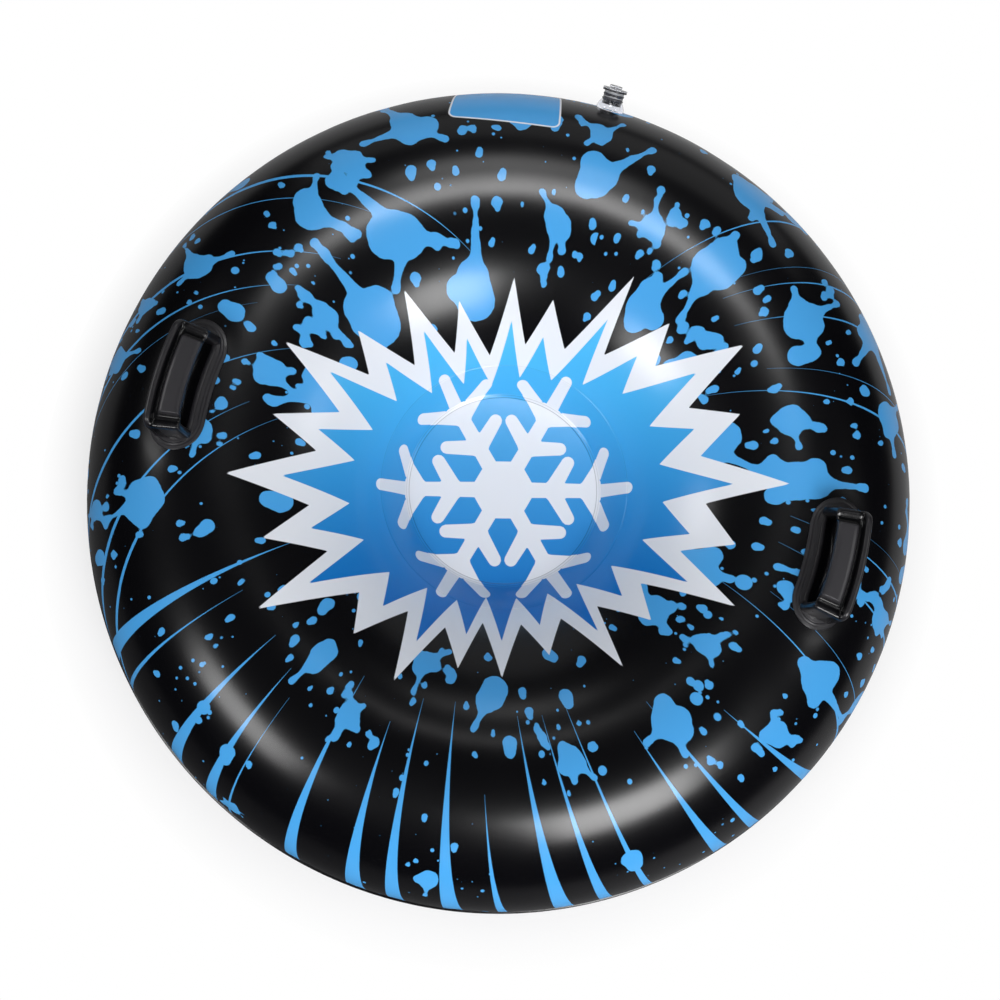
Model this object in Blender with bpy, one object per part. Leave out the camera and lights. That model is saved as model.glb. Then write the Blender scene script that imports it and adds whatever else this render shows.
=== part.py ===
"""Blow-up snow tube: a ring of two welded sheets with a closed seat floor, two grab handles and a push-in valve.

Metres, +Z up. The origin is on the ground, under the middle of the ring. The two handles lie on the X axis and
the valve is on the +Y side. The tube is blown up hard, the valve is out and its plug is in.
"""

import math

import bmesh
import bpy
import numpy as np
from mathutils import Matrix, Vector

MM = 0.001

# Ring, blown up
RING_RADIUS = 475 * MM  # middle of the seat to the outer seam
WELD_RADIUS = 112 * MM  # middle of the seat to the ring weld that closes the air chamber
DOUBLER_RADIUS = 157 * MM  # edge of the second disc, bonded under the top sheet
SHEET = 0.8 * MM  # thickness of every PVC sheet
SEAM_LIP = 5 * MM  # width of the welded lip that stands out at the outer seam
FLAT_DEPTH = 0.4 * MM  # how far the crown is pressed flat where the tube rests
GAP = 0.3 * MM  # clearance between pieces that touch
RING_STEPS = 60
OUTER_BENDS = 7  # facets from the outer seam to the crown
INNER_BENDS = 4  # facets from the crown to the ring weld

# Handle base, a weldable moulding that follows the skin
HANDLE_DISTANCE = 193 * MM  # along the skin, from the outer seam to the middle of a handle
BASE_LENGTH = 147 * MM
BASE_WIDTH = 61 * MM
FLANGE_WIDTH = 7.5 * MM  # the thin welded edge
FLANGE_THICK = 2 * MM
PLINTH_THICK = 4 * MM  # the raised middle
PLINTH_SLOPE = 1.5 * MM  # run of the step from the flange up to the plinth
SIDE_STEPS = 8
END_STEPS = 4
ROW_SHARES = (0.5, 0.0, -0.5)  # rows of points inside an end face, as shares of its half width

# Handle grip, a moulded bar that bridges the plinth
GRIP_WIDTH = 38 * MM
GRIP_THICK = 12 * MM
GRIP_LENGTH = 106 * MM  # between the middles of its two feet
GRIP_RISE = 36 * MM  # from the skin to the middle of the bar
GRIP_BEND = 15 * MM  # radius of the middle line at each shoulder
LEG_LEAN = math.radians(72)  # slope of each leg
BEND_STEPS = 4
BAR_STATION_SHARES = (-1.0, -0.88, -0.44, 0.0, 0.44, 0.88, 1.0)  # along the straight part, of its half length
# Half sections from the bottom up, as (height, width) shares of the half thickness and half width. The leg is
# plain and the bar has a rounded side, a rib, a groove and a raised pad.
LEG_SHARES = (
    (-1.0, 0.0),
    (-0.92, 0.7),
    (-0.5, 0.95),
    (0.0, 1.0),
    (0.4, 0.96),
    (0.65, 0.88),
    (0.8, 0.76),
    (0.9, 0.62),
    (0.96, 0.45),
    (1.0, 0.0),
)
BAR_SHARES = (
    (-1.0, 0.0),
    (-0.92, 0.7),
    (-0.5, 0.95),
    (0.1, 1.0),
    (0.7, 0.94),
    (0.85, 0.8),
    (0.45, 0.7),
    (0.94, 0.6),
    (1.0, 0.5),
    (1.0, 0.0),
)

# Valve, measured from the skin along its own axis
VALVE_DISTANCE = 66 * MM  # along the skin, from the outer seam to the middle of the valve
SKIRT_FOOT_RADIUS = 16.5 * MM
SKIRT_TOP_RADIUS = 12 * MM
SKIRT_WALL = 1.2 * MM
SKIRT_TOP = 9.5 * MM
VALVE_FLANGE_WIDTH = 8 * MM
VALVE_FLANGE_THICK = 1.2 * MM
HOLE_CLEARANCE = 0.5 * MM
NECK_RADIUS = 10.5 * MM
BORE_RADIUS = 8 * MM
NECK_LENGTH = 11.5 * MM
BEAD_HEIGHT = 1.5 * MM
BEAD_WIDTH = 1.4 * MM
RIM_HEIGHT = 1.8 * MM
RIM_WIDTH = 2.8 * MM
SEAT_WIDTH = 1.6 * MM  # inward step at the bottom of the bore, which the flap closes against
SEAT_HEIGHT = 1 * MM
FLAP_OVERLAP = 1.1 * MM  # how far the flap laps the seat's opening
FLAP_THICK = 0.8 * MM
TAB_WIDTH = 6 * MM
TAB_REACH = 1.6 * MM
PLUG_CLEARANCE = 0.3 * MM
PLUG_LENGTH = 7 * MM
PLUG_WALL = 1.6 * MM
HEAD_HEIGHT = 1.4 * MM
KNOB_RADIUS = 7.5 * MM
KNOB_HEIGHT = 3.6 * MM
KNOB_CHAMFER = 0.8 * MM
STRAP_WIDTH = 4 * MM
STRAP_THICK = 1 * MM
STRAP_REACH = 9 * MM  # how far the strap loops out beyond the rim
STRAP_STEPS = 6
VALVE_STEPS = 28

OVERRUN = 8 * MM  # how far a cutter runs past what it cuts
FINE_STEPS = 600  # steps of the sums along the skin
SHARP_ANGLE = math.radians(35)

STACK = 3 * SHEET + 2 * GAP  # top sheet, doubler and bottom sheet at the seat floor


class Skin:
    """The curve of the blown-up skin in a cut through the middle, from the outer seam to the ring weld.

    A lens of two flat sheets that air blows up has no pull around its rim, so its curve bends in proportion to
    the distance from the middle. The lean of the skin is how far its outward face tips out from straight up.
    """

    def __init__(self, outer, inner):
        self.outer = outer
        self.inner = inner
        span = outer**2 - inner**2
        low, high = 2 / span, 4 / span
        for _ in range(60):
            self.bend = (low + high) / 2
            self.trace()
            if self.height[-1] > 0:
                low = self.bend
            else:
                high = self.bend
        self.crown = float(self.height.max()) - FLAT_DEPTH
        self.height = np.minimum(self.height, self.crown)

    def radius_at(self, lean):
        return np.sqrt(self.outer**2 - 2 * (1 - np.sin(lean)) / self.bend)

    def trace(self):
        """Fills lean, radius, height above the seam and arc length from the seam."""
        weld_lean = math.asin(1 - self.bend * (self.outer**2 - self.inner**2) / 2)
        self.lean = np.linspace(math.pi / 2, weld_lean, FINE_STEPS + 1)
        middle = (self.lean[1:] + self.lean[:-1]) / 2
        run = -np.diff(self.lean) / (self.bend * self.radius_at(middle))
        self.radius = self.radius_at(self.lean)
        self.height = np.concatenate([[0], np.cumsum(np.sin(middle) * run)])
        self.arc = np.concatenate([[0], np.cumsum(run)])

    def at_arc(self, arc):
        """Radius, height and lean at a distance along the skin from the outer seam."""
        return [np.interp(arc, self.arc, values) for values in (self.radius, self.height, self.lean)]

    def at_lean(self, lean):
        """Radius and height where the skin leans this much."""
        rising = slice(None, None, -1)
        return [np.interp(lean, self.lean[rising], values[rising]) for values in (self.radius, self.height)]


SKIN = Skin(RING_RADIUS, WELD_RADIUS)
MIDDLE = SKIN.crown + STACK / 2  # height of the middle plane above the ground
HANDLE_RADIUS = float(SKIN.at_arc(HANDLE_DISTANCE)[0])
VALVE_RADIUS, _, VALVE_LEAN = map(float, SKIN.at_arc(VALVE_DISTANCE))


def on_skin(azimuth, arc, up):
    """World point at a height over the top skin, an arc length from the outer seam, and an angle round the ring."""
    radius, height, lean = SKIN.at_arc(arc)
    reach = radius + up * math.sin(lean)
    z = MIDDLE + STACK / 2 + height + up * math.cos(lean)
    return Vector((reach * math.cos(azimuth), reach * math.sin(azimuth), z))


def material(name, colour, roughness, alpha=1.0):
    made = bpy.data.materials.new(name)
    made.use_nodes = True
    shader = made.node_tree.nodes["Principled BSDF"]
    shader.inputs["Base Color"].default_value = (*colour, 1)
    shader.inputs["Roughness"].default_value = roughness
    shader.inputs["Metallic"].default_value = 0
    shader.inputs["Alpha"].default_value = alpha
    made.diffuse_color = (*colour, alpha)
    return made


def finished(name, shape, finish, parent=None):
    """The object of a closed bmesh, shaded smooth but for its sharp edges."""
    bmesh.ops.recalc_face_normals(shape, faces=shape.faces)
    mesh = bpy.data.meshes.new(name)
    shape.to_mesh(mesh)
    shape.free()
    mesh.shade_smooth()
    mesh.set_sharp_from_angle(angle=SHARP_ANGLE)
    mesh.materials.append(finish)
    made = bpy.data.objects.new(name, mesh)
    bpy.context.scene.collection.objects.link(made)
    made.parent = parent
    return made


def turned(name, outline, steps, finish, parent=None):
    """A solid of revolution about Z from (radius, height) pairs. Its outline may start and end on the axis."""
    shape = bmesh.new()
    points = [shape.verts.new((radius, 0, height)) for radius, height in outline]
    pairs = list(zip(points, points[1:]))
    if outline[0][0] > 0:
        pairs.append((points[-1], points[0]))
    edges = [shape.edges.new(pair) for pair in pairs]
    whole = 2 * math.pi
    bmesh.ops.spin(shape, geom=points + edges, axis=(0, 0, 1), cent=(0, 0, 0), angle=whole, steps=steps, use_merge=True)
    bmesh.ops.remove_doubles(shape, verts=shape.verts, dist=GAP / 10)
    return finished(name, shape, finish, parent)


def lofted(name, rings, around, finish, caps=None, parent=None):
    """A closed solid through rings, each with as many points around it. caps lists the faces of an end ring.

    An end ring may have more points after those around it, for its cap. With no caps the last ring joins the
    first, as on a tyre.
    """
    shape = bmesh.new()
    loops = [[shape.verts.new(point) for point in ring] for ring in rings]
    pairs = list(zip(loops, loops[1:]))
    if caps is None:
        pairs.append((loops[-1], loops[0]))
    for near, far in pairs:
        for i in range(around):
            j = (i + 1) % around
            shape.faces.new((near[i], near[j], far[j], far[i]))
    for loop in (loops[0], loops[-1]) if caps else ():
        for face in caps:
            shape.faces.new([loop[i] for i in face])
    return finished(name, shape, finish, parent)


def mirrored(half, place, filled=False):
    """Points round an outline from its half, which lists (position, across) pairs from tip to tip.

    A filled one has rows of points inside it too, in the order that cap_faces counts them.
    """
    flat = half + [(position, -across) for position, across in reversed(half[1:-1])]
    if filled:
        flat += [(position, across * share) for position, across in half[1:-1] for share in ROW_SHARES]
    return [place(*point) for point in flat]


def cap_faces(half_count):
    """Faces that close a filled mirrored outline, by point number."""
    around, rows = 2 * half_count - 2, len(ROW_SHARES)
    strips = []
    for i in range(1, half_count - 1):
        first = around + rows * (i - 1)
        strips.append([i, *range(first, first + rows), around - i])
    faces = []
    for tip, strip in ((0, strips[0]), (half_count - 1, strips[-1])):
        faces += [(tip, strip[j], strip[j + 1]) for j in range(rows + 1)]
    for near, far in zip(strips, strips[1:]):
        faces += [(near[j], far[j], far[j + 1], near[j + 1]) for j in range(rows + 1)]
    return faces


def offset(path, distance):
    """The (radius, height) path moved to its right by a distance, with mitred corners."""
    points = np.array(path)
    along = np.diff(points, axis=0)
    along /= np.linalg.norm(along, axis=1)[:, None]
    right = np.stack([along[:, 1], -along[:, 0]], axis=1)
    before, after = np.vstack([right[:1], right]), np.vstack([right, right[-1:]])
    mitre = before + after
    mitre *= 2 / (mitre**2).sum(axis=1)[:, None]
    return [tuple(point) for point in points + mitre * distance]


# Sheets of the ring


def sheet_path():
    """The top skin as (radius, height over the middle plane), from the middle of the seat out to the lip."""
    floor = STACK / 2
    weld_lean = float(SKIN.lean[-1])
    wall = [SKIN.at_lean(weld_lean * (1 - i / INNER_BENDS)) for i in range(1, INNER_BENDS)]
    side = [SKIN.at_lean(math.pi / 2 * i / OUTER_BENDS) for i in range(1, OUTER_BENDS)]
    flat = SKIN.radius[SKIN.height == SKIN.crown]
    crown = [(flat.min(), SKIN.crown), (flat.max(), SKIN.crown)]
    points = [(0, 0), (WELD_RADIUS, 0)] + wall + crown + side
    points = [(float(radius), floor + float(height)) for radius, height in points]
    lip_top = GAP / 2 + SHEET
    return points + [(RING_RADIUS, floor), (RING_RADIUS, lip_top), (RING_RADIUS + SEAM_LIP, lip_top)]


def raised(outline, side=1):
    """The outline lifted from the middle plane to its place, or turned over for the bottom sheet."""
    return [(radius, MIDDLE + side * height) for radius, height in outline]


def build_sheets(printed, plain):
    outer = sheet_path()
    inner = offset(outer, SHEET)
    top = turned("top_sheet", raised(outer + inner[::-1]), RING_STEPS, printed)
    turned("bottom_sheet", raised(inner + outer[::-1], side=-1), RING_STEPS, plain)
    radii, heights = zip(*outer)
    last = sum(radius < DOUBLER_RADIUS for radius in radii)
    edge = (DOUBLER_RADIUS, float(np.interp(DOUBLER_RADIUS, radii[: last + 1], heights[: last + 1])))
    under = outer[:last] + [edge]
    faces = offset(under, SHEET + GAP) + offset(under, 2 * SHEET + GAP)[::-1]
    turned("seat_doubler", raised(faces), RING_STEPS, plain)
    return top


# Handles


def stadium(length, width):
    """Half of a long round-ended outline, as (along, across) pairs from tip to tip."""
    half, straight = width / 2, (length - width) / 2
    quarter = [math.pi / 2 * i / END_STEPS for i in range(END_STEPS)]
    end = [(straight + half * math.cos(angle), half * math.sin(angle)) for angle in quarter]
    side = [(straight * (1 - 2 * i / SIDE_STEPS), half) for i in range(SIDE_STEPS + 1)]
    return end + side + [(-along, across) for along, across in reversed(end)]


def handle_point(along, across, up):
    """World point on the right handle: along the ring, outwards over the skin, and up from it."""
    return on_skin(along / HANDLE_RADIUS, HANDLE_DISTANCE - across, up)


def bar_point(along, across, up):
    """As handle_point, but straight across: square to the skin under the middle of the bar."""
    azimuth, lean = along / HANDLE_RADIUS, SKIN.at_arc(HANDLE_DISTANCE)[2]
    outwards = Vector((math.cos(azimuth) * math.cos(lean), math.sin(azimuth) * math.cos(lean), -math.sin(lean)))
    return on_skin(azimuth, HANDLE_DISTANCE, up) + outwards * across


def build_handle_base(name, finish):
    levels = (
        (0, GAP),
        (0, FLANGE_THICK),
        (FLANGE_WIDTH, FLANGE_THICK),
        (FLANGE_WIDTH + PLINTH_SLOPE, PLINTH_THICK),
    )
    rings = []
    for inset, up in levels:
        half = stadium(BASE_LENGTH - 2 * inset, BASE_WIDTH - 2 * inset)
        end = (inset, up) in (levels[0], levels[-1])
        rings.append(mirrored(half, lambda along, across: handle_point(along, across, up), filled=end))
    return lofted(name, rings, 2 * len(half) - 2, finish, caps=cap_faces(len(half)))


def grip_path():
    """Middle line of the bar from one foot to the other, as (along, up, slope, half section)."""
    foot_up = PLINTH_THICK + GAP
    leg_rise = GRIP_RISE - foot_up - GRIP_BEND * (1 - math.cos(LEG_LEAN))
    bar = GRIP_LENGTH / 2 - leg_rise / math.tan(LEG_LEAN) - GRIP_BEND * math.sin(LEG_LEAN)
    shoulder = [(-GRIP_LENGTH / 2, foot_up, math.pi / 2, LEG_SHARES)]
    for i in range(BEND_STEPS):
        slope = LEG_LEAN * (1 - i / BEND_STEPS)
        up = GRIP_RISE - GRIP_BEND * (1 - math.cos(slope))
        shoulder.append((-bar - GRIP_BEND * math.sin(slope), up, slope, LEG_SHARES))
    path = list(shoulder)
    for share in BAR_STATION_SHARES:
        path.append((bar * share, GRIP_RISE, 0, LEG_SHARES if abs(share) == 1 else BAR_SHARES))
    return path + [(-along, up, -slope, half) for along, up, slope, half in reversed(shoulder)]


def build_handle_grip(name, finish):
    path = grip_path()
    rings = []
    for station in path:
        along, up, slope, shares = station
        half = [(out * GRIP_THICK / 2, across * GRIP_WIDTH / 2) for out, across in shares]
        foot = station in (path[0], path[-1])
        point = handle_point if foot else bar_point

        def place(out, across):
            return point(along - out * math.sin(slope), across, up + out * math.cos(slope))

        rings.append(mirrored(half, place, filled=foot))
    return lofted(name, rings, 2 * len(half) - 2, finish, caps=cap_faces(len(half)))


def build_handles(moulding):
    """The right handle at +X, and the left one, which shares its meshes, turned half way round the ring."""
    for part, build in (("base", build_handle_base), ("grip", build_handle_grip)):
        right = build("right_handle_" + part, moulding)
        left = bpy.data.objects.new("left_handle_" + part, right.data)
        left.rotation_euler.z = math.pi
        bpy.context.scene.collection.objects.link(left)


# Valve


def valve_axis():
    """Empty on the skin under the valve: its Z runs out along the valve and its Y points down the skin."""
    axis = bpy.data.objects.new("valve_axis", None)
    axis.location = on_skin(math.pi / 2, VALVE_DISTANCE, 0)
    axis.rotation_euler.x = -VALVE_LEAN
    bpy.context.scene.collection.objects.link(axis)
    return axis


def facet_sag():
    """How far the flat facets of the top sheet lie inside the true skin, at most, near the valve."""
    round_ring = VALVE_RADIUS * (1 - math.cos(math.pi / RING_STEPS))
    bend_radius = 1 / (SKIN.bend * VALVE_RADIUS)
    return round_ring + bend_radius * (1 - math.cos(math.pi / OUTER_BENDS / 4))


def circle(radius):
    angles = [2 * math.pi * i / VALVE_STEPS for i in range(VALVE_STEPS)]
    return [(radius * math.cos(angle), radius * math.sin(angle)) for angle in angles]


def wrapped_ring(radius, up):
    """A circle round the valve's axis, laid on the curved skin at a height over it."""
    turn = math.pi / 2
    return [on_skin(turn - x / VALVE_RADIUS, VALVE_DISTANCE - y, up) for x, y in circle(radius)]


def build_valve_flange(clear, flange_top):
    """The ring that is welded inside the top sheet, round the hole, and bends with the skin."""
    inner, outer = SKIRT_FOOT_RADIUS - SKIRT_WALL, SKIRT_FOOT_RADIUS + VALVE_FLANGE_WIDTH
    corners = (
        (inner, flange_top),
        (outer, flange_top),
        (outer, flange_top - VALVE_FLANGE_THICK),
        (inner, flange_top - VALVE_FLANGE_THICK),
    )
    lofted("valve_flange", [wrapped_ring(*corner) for corner in corners], VALVE_STEPS, clear)


def build_valve_skirt(clear, axis, flange_top):
    """The soft cone between the flange and the neck. Its foot bends with the skin and its top is flat."""
    place = Matrix.Translation(axis.location) @ axis.rotation_euler.to_matrix().to_4x4()
    foot_up = flange_top + GAP
    rings = []
    for side in (0, SKIRT_WALL):
        foot = wrapped_ring(SKIRT_FOOT_RADIUS - side, foot_up)
        top = [place @ Vector((x, y, SKIRT_TOP)) for x, y in circle(SKIRT_TOP_RADIUS - side)]
        rings += [foot, top] if side == 0 else [top, foot]
    lofted("valve_skirt", rings, VALVE_STEPS, clear)


def build_valve_neck(clear, axis):
    foot = SKIRT_TOP + GAP
    top = foot + NECK_LENGTH
    outline = [
        (BORE_RADIUS, top),
        (NECK_RADIUS + RIM_WIDTH, top),
        (NECK_RADIUS + RIM_WIDTH, top - RIM_HEIGHT),
        (NECK_RADIUS, top - RIM_HEIGHT),
        (NECK_RADIUS, foot + BEAD_HEIGHT),
        (NECK_RADIUS + BEAD_WIDTH, foot + BEAD_HEIGHT),
        (NECK_RADIUS + BEAD_WIDTH, foot),
        (BORE_RADIUS - SEAT_WIDTH, foot),
        (BORE_RADIUS - SEAT_WIDTH, foot + SEAT_HEIGHT),
        (BORE_RADIUS, foot + SEAT_HEIGHT),
    ]
    turned("valve_neck", outline, VALVE_STEPS, clear, axis)
    return foot, top


def build_valve_flap(clear, axis, neck_foot):
    """The thin disc under the neck that air pressure holds shut, with the tab that it bends at."""
    top = neck_foot - GAP
    radius = BORE_RADIUS - SEAT_WIDTH + FLAP_OVERLAP
    shape = bmesh.new()
    meet = math.asin(TAB_WIDTH / 2 / radius)
    sweep = 2 * (math.pi - meet)
    outline = []
    for i in range(VALVE_STEPS + 1):
        angle = math.pi / 2 + math.pi + meet + sweep * i / VALVE_STEPS
        outline.append((radius * math.cos(angle), radius * math.sin(angle)))
    hinge = -radius - TAB_REACH
    outline += [(-TAB_WIDTH / 2, hinge), (TAB_WIDTH / 2, hinge)]
    disc = shape.faces.new([shape.verts.new((x, y, top)) for x, y in outline])
    side = bmesh.ops.extrude_face_region(shape, geom=[disc])
    moved = [part for part in side["geom"] if isinstance(part, bmesh.types.BMVert)]
    bmesh.ops.translate(shape, verts=moved, vec=(0, 0, -FLAP_THICK))
    finished("valve_flap", shape, clear, axis)


def build_valve_plug(clear, axis, neck_top):
    """The hollow plug in the bore, with the head that lies on the rim and the knob to pull it by."""
    under = neck_top + GAP
    shank = BORE_RADIUS - PLUG_CLEARANCE
    head = under + HEAD_HEIGHT
    outline = [
        (0, head + KNOB_HEIGHT),
        (KNOB_RADIUS - KNOB_CHAMFER, head + KNOB_HEIGHT),
        (KNOB_RADIUS, head + KNOB_HEIGHT - KNOB_CHAMFER),
        (KNOB_RADIUS, head),
        (NECK_RADIUS + RIM_WIDTH, head),
        (NECK_RADIUS + RIM_WIDTH, under),
        (shank, under),
        (shank, neck_top - PLUG_LENGTH),
        (shank - PLUG_WALL, neck_top - PLUG_LENGTH),
        (shank - PLUG_WALL, under),
        (0, under),
    ]
    turned("valve_plug", outline, VALVE_STEPS, clear, axis)
    return under


def build_valve_strap(clear, axis, neck_top, head_under):
    """The strap that keeps the plug with the valve: a loop from the rim out and back to the plug's head."""
    low, high = neck_top - RIM_HEIGHT / 2, head_under + HEAD_HEIGHT / 2
    start = NECK_RADIUS + RIM_WIDTH + GAP
    bow = (high - low) / 2
    spread = bow + STRAP_THICK
    end = start + STRAP_REACH - spread
    path = [(start, -bow)]
    for i in range(STRAP_STEPS + 1):
        angle = math.pi * i / STRAP_STEPS - math.pi / 2
        path.append((end + spread * math.cos(angle), spread * math.sin(angle)))
    path.append((start, bow))
    sides = (offset(path, -STRAP_THICK / 2), offset(path, STRAP_THICK / 2))
    rings = []
    for (y_in, z_in), (y_out, z_out) in zip(*sides):
        ring = []
        for x, y, z in (
            (-STRAP_WIDTH / 2, y_in, z_in),
            (STRAP_WIDTH / 2, y_in, z_in),
            (STRAP_WIDTH / 2, y_out, z_out),
            (-STRAP_WIDTH / 2, y_out, z_out),
        ):
            ring.append((x, max(y, start), z + (low + high) / 2))
        rings.append(ring)
    corners = range(len(rings[0]))
    lofted("valve_strap", rings, len(corners), clear, caps=[corners], parent=axis)


def cut_valve_hole(top_sheet, axis):
    """Opens the top sheet where the skirt comes through it."""
    mesh = bpy.data.meshes.new("valve_hole")
    shape = bmesh.new()
    hole = SKIRT_FOOT_RADIUS + HOLE_CLEARANCE
    bmesh.ops.create_cone(
        shape, cap_ends=True, segments=VALVE_STEPS, radius1=hole, radius2=hole, depth=2 * OVERRUN
    )
    shape.to_mesh(mesh)
    shape.free()
    cutter = bpy.data.objects.new("valve_hole", mesh)
    bpy.context.scene.collection.objects.link(cutter)
    cutter.parent = axis
    cutter.hide_render = True
    cutter.display_type = "WIRE"
    cut = top_sheet.modifiers.new("valve hole", "BOOLEAN")
    cut.operation = "DIFFERENCE"
    cut.object = cutter


def build_valve(top_sheet, clear):
    axis = valve_axis()
    flange_top = -SHEET - facet_sag() - GAP
    build_valve_flange(clear, flange_top)
    build_valve_skirt(clear, axis, flange_top)
    neck_foot, neck_top = build_valve_neck(clear, axis)
    build_valve_flap(clear, axis, neck_foot)
    head_under = build_valve_plug(clear, axis, neck_top)
    build_valve_strap(clear, axis, neck_top, head_under)
    cut_valve_hole(top_sheet, axis)


def main():
    for old in list(bpy.data.objects):
        bpy.data.objects.remove(old, do_unlink=True)
    printed = material("printed black sheet", (0.012, 0.012, 0.014), 0.35)
    plain = material("plain black sheet", (0.012, 0.012, 0.014), 0.4)
    moulding = material("black moulding", (0.02, 0.02, 0.022), 0.25)
    clear = material("clear moulding", (0.85, 0.87, 0.9), 0.1, alpha=0.45)
    top_sheet = build_sheets(printed, plain)
    build_handles(moulding)
    build_valve(top_sheet, clear)


main()
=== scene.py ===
# %% [markdown]
# # A snow tube
#
# A snow tube is two round sheets of soft PVC, welded together at the rim and again at a small ring in the
# middle. Air fills the ring between the two welds, and the middle stays a flat floor to sit on. This lesson
# dresses the plain CAD model: each step takes one piece, says what it is on the real thing, and builds it.
#
# The CAD model comes first. It is the frame that everything else is measured from, and it never moves.

import math

import bmesh
import bpy
import numpy as np
from mathutils import Matrix, Vector


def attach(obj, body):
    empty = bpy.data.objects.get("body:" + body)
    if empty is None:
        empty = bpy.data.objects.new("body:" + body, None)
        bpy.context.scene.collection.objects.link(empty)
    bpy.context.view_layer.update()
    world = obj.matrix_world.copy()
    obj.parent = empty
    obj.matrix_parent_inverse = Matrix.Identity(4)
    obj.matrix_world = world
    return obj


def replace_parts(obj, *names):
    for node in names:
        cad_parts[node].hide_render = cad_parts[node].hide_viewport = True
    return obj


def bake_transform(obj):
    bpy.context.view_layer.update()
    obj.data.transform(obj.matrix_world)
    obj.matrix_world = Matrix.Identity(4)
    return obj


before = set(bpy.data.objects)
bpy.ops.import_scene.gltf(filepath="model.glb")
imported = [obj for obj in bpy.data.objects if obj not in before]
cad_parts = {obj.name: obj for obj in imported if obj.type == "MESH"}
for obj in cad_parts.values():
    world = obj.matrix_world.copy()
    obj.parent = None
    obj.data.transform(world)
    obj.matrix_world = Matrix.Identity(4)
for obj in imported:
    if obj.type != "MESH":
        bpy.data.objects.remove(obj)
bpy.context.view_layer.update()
MM = 0.001


def placed(name, data):
    """A new object in the scene."""
    made = bpy.data.objects.new(name, data)
    bpy.context.scene.collection.objects.link(made)
    return made


def full_turn(count):
    """Evenly spaced angles."""
    return np.linspace(0, 2 * math.pi, count, endpoint=False)


print("nodes:", ", ".join(sorted(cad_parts)))

# %% [markdown]
# ## The curve of a blown-up skin
#
# A lens of two flat sheets has nothing that pulls round its rim when air fills it. Its skin then bends in
# proportion to the distance from the middle. Two radii fix the whole curve: the outer seam's and the ring
# weld's. The slope of the curve follows directly, and its height comes from adding up small steps.
#
# The bend is found by halving an interval until the curve comes back down to the floor just at the ring weld.

# %% Skin curve
RING_RADIUS = 475 * MM
WELD_RADIUS = 112 * MM
DOUBLER_RADIUS = 157 * MM
SHEET = 0.8 * MM
SEAM_LIP = 5 * MM  # how far the welded lip stands out from the seam
FLOOR = 1.5 * MM  # the seat floor's top, over the middle plane
PRESSED = 0.4 * MM  # how much the ground flattens the lowest line
STEPS = 1200


def skin_curve(bend):
    """Lean, radius, height and arc length from the outer seam to the ring weld, for one bend."""
    last = math.asin(1 - bend * (RING_RADIUS**2 - WELD_RADIUS**2) / 2)
    lean = np.linspace(math.pi / 2, last, STEPS + 1)
    middle = (lean[1:] + lean[:-1]) / 2
    radius = lambda a: np.sqrt(RING_RADIUS**2 - 2 * (1 - np.sin(a)) / bend)
    run = -np.diff(lean) / (bend * radius(middle))
    height = np.concatenate([[0], np.cumsum(np.sin(middle) * run)])
    return lean, radius(lean), height, np.concatenate([[0], np.cumsum(run)])


least, most = (share / (RING_RADIUS**2 - WELD_RADIUS**2) for share in (2, 4))
for _ in range(50):
    bend = (least + most) / 2
    LEAN, RADIUS, HEIGHT, ARC = skin_curve(bend)
    least, most = (bend, most) if HEIGHT[-1] > 0 else (least, bend)
FLAT_RADIUS = WELD_RADIUS + ARC[-1]  # of the sheet before it is blown up
MIDDLE = float(HEIGHT.max()) - PRESSED + FLOOR  # height of the middle plane over the ground
print(f"ring {2 * MIDDLE * 1000:.0f} mm high, sheet {2 * FLAT_RADIUS * 1000:.0f} mm wide when flat")

# %% [markdown]
# Every place on the skin has two numbers: its angle round the ring and its distance from the middle of the
# flat sheet. The print was made on the flat sheet, so these two numbers also say what colour belongs there.
# One function turns them into a point of the blown-up skin, with the height over it and the outward lean.


# %% From the flat sheet to the blown-up one
def profile(flat):
    """Radius, height over the middle plane and lean for distances from the middle of the flat sheet."""
    flat = np.asarray(flat, float)
    arc = np.clip(FLAT_RADIUS - flat, 0, ARC[-1])
    radius, height, lean = (np.interp(arc, ARC, values) for values in (RADIUS, HEIGHT, LEAN))
    floor, lip = flat < WELD_RADIUS, flat > FLAT_RADIUS
    radius = np.where(floor, flat, np.where(lip, RING_RADIUS + flat - FLAT_RADIUS, radius))
    return radius, FLOOR + np.where(floor, 0, height), np.where(floor, 0, lean)


def on_skin(angle, flat, up=0.0):
    """Points at a height over the top skin, as an array with x, y and z last."""
    radius, height, lean = profile(flat)
    reach = radius + up * np.sin(lean)
    z = MIDDLE + height + up * np.cos(lean)
    return np.stack(np.broadcast_arrays(reach * np.cos(angle), reach * np.sin(angle), z), axis=-1)


print("crown at", np.round(on_skin(0, FLAT_RADIUS - 0.22), 3))

# %% [markdown]
# ## Camera
#
# The photograph looks down on the tube from about 1.4 m, tipped a little off the ring's axis. The numbers
# come from fitting a pinhole camera to the tube's outer edge, its handles, its valve and the ring weld.

# %% Camera
CAMERA_TILT = math.radians(7.44)
TILT_TOWARDS = math.radians(68.9)  # in the picture, from the right
PICTURE_TURN = math.radians(15.6)  # of the tube in the picture
CAMERA_DISTANCE = 2.925 * RING_RADIUS
AIM_OFF = (-0.0077, -0.0245)  # sideways shift of the camera, in ring radii
FOCAL_SHARE = 1.185  # focal length as a share of the picture's width
SENSOR = 36.0

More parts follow.
